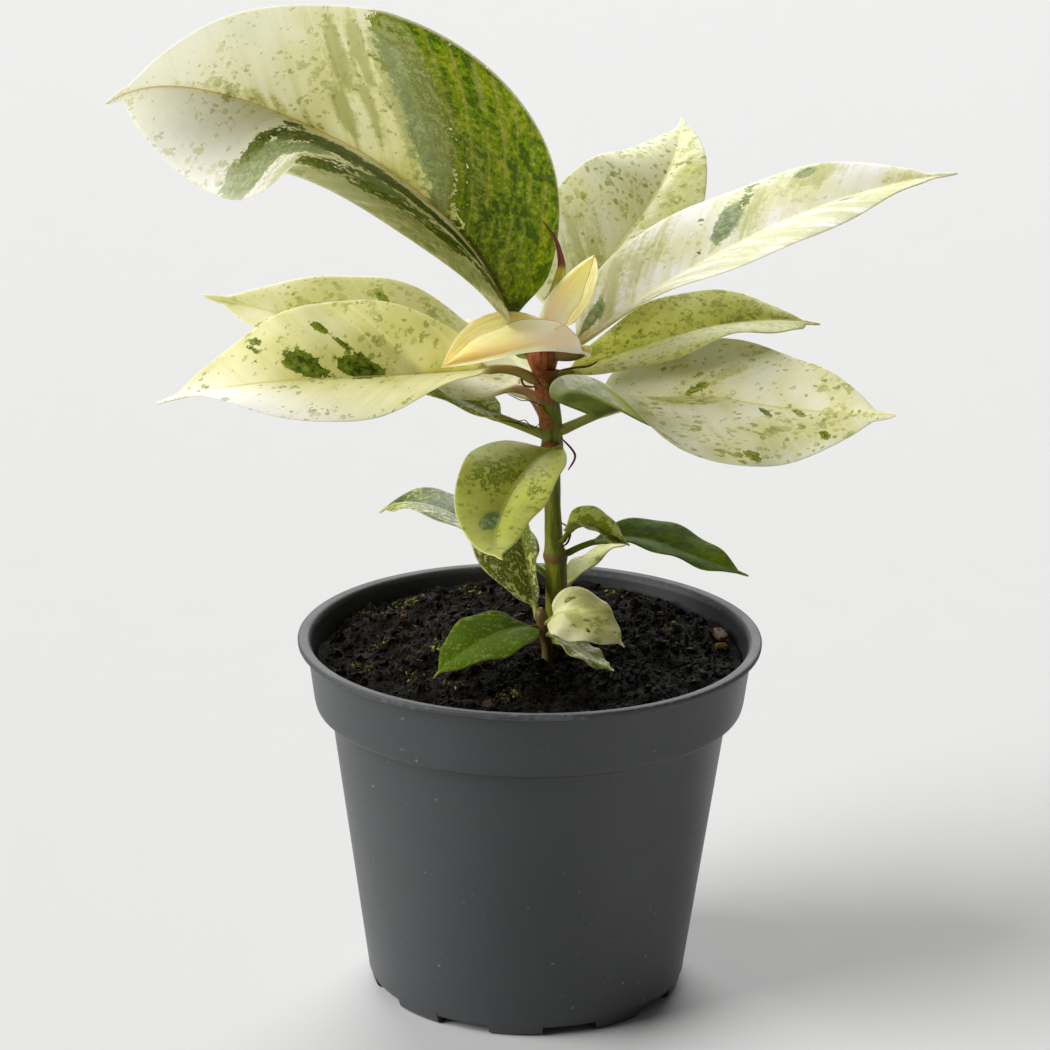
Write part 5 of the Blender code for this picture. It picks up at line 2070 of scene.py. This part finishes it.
@dataclass
class Studio:
    """The pale floor, the soft lights and the camera at the photograph's angle."""

    eye: Point = (0.0, -1.0, 0.4467)
    down: float = 17.85
    turn: float = -0.091
    roll: float = -0.67
    lens: float = 140.497
    sensor: float = 36.0
    floor_size: float = 6.0
    floor_dark: Colour = seen(200, 200, 199)
    floor_light: Colour = seen(201, 201, 200)
    fill: float = 0.1
    suns: tuple[tuple[Point, float, float], ...] = (((-0.82, -0.20, 0.53), 45.0, 4.2),
                                                    ((0.0, 0.85, 0.52), 50.0, 2.7))

    def build(self) -> None:
        """Build the floor, the lights, the world and the camera."""
        self._floor()
        self._world()
        for towards, spread, strength in self.suns:
            self._sun(towards, spread, strength)
        self._camera()

    def _floor(self) -> None:
        """Lay the floor."""
        floor = Surface("pale floor")
        grain = floor.noise(floor.place(), 60.0, 3.0, 0.6)
        colour = floor.mix(grain.between(0.2, 0.8), self.floor_dark, self.floor_light)
        material = floor.finish(colour, 0.75 + (grain - 0.5) * 0.1)
        size = self.floor_size
        corners = [(-size, -size, 0), (size, -size, 0), (size, size, 0), (-size, size, 0)]
        mesh = plain_mesh("floor", corners, [(0, 1, 2, 3)])
        mesh.materials.append(material)
        placed("floor", mesh)

    def _world(self) -> None:
        """Light the whole scene evenly in white."""
        world = bpy.data.worlds.new("soft studio")
        world.use_nodes = True
        inputs = world.node_tree.nodes["Background"].inputs
        inputs["Color"].default_value = (1.0, 1.0, 1.0, 1.0)
        inputs["Strength"].default_value = self.fill
        bpy.context.scene.world = world
        bpy.context.scene.view_settings.view_transform = "Standard"

    @staticmethod
    def _sun(towards: Point, spread: float, strength: float) -> None:
        """Light the scene softly and evenly from one side, as a large softbox does.

        Args:
            towards: The direction of the light's source.
            spread: How wide the source is, in degrees.
            strength: Its strength.
        """
        lamp = bpy.data.lights.new("softbox", "SUN")
        lamp.angle = math.radians(spread)
        lamp.energy = strength
        turned = (-Vector(towards)).to_track_quat("-Z", "Y").to_euler()
        placed("softbox", lamp).rotation_euler = turned

    def _camera(self) -> None:
        """Set up the camera."""
        down, turn, roll = (math.radians(angle) for angle in (self.down, self.turn, self.roll))
        ahead = Vector((math.sin(turn) * math.cos(down), math.cos(turn) * math.cos(down),
                        -math.sin(down)))
        right = ahead.cross(Vector((0.0, 0.0, 1.0))).normalized()
        below = ahead.cross(right)
        right, below = (right * math.cos(roll) + below * math.sin(roll),
                        below * math.cos(roll) - right * math.sin(roll))
        lens = bpy.data.cameras.new("camera")
        lens.lens = self.lens
        lens.sensor_width = self.sensor
        lens.sensor_fit = "HORIZONTAL"
        camera = placed("camera", lens)
        axes = Matrix((right, -below, -ahead)).transposed().to_4x4()
        camera.matrix_world = Matrix.Translation(self.eye) @ axes
        bpy.context.scene.camera = camera


def build_plant() -> None:
    """Build the plant and its pot, piece by piece."""
    pot = Pot()
    pot.build()
    Soil(pot).build()
    Trunk(Stem.MAIN, "stem_green",
          StemFinish("green bark", seen(132, 138, 34), seen(90, 96, 8), SCARS, brown_from=0.1590),
          STEM_FOOT, (*SCARS, 0.1630), swelling=0.14).build()
    Trunk(Stem.SHOOT, "shoot_brown",
          StemFinish("shoot bark", seen(120, 104, 52), seen(84, 62, 36), SHOOT_SCARS),
          STEM_FOOT, (*SHOOT_SCARS, 0.1015), sides=20).build()
    for husk in HUSKS:
        husk.build(PAPERY)
    pattern = ThreadPattern()
    for threads in THREADS:
        threads.build(pattern)
    for leaf in LEAVES:
        leaf.build()
    Bud().build()


def main() -> None:
    """Load the frame, build the plant and the studio, and log each piece's face count."""
    logging.basicConfig(level=logging.INFO, format="%(message)s")
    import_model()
    build_plant()
    Studio().build()


if __name__ == "__main__":
    main()
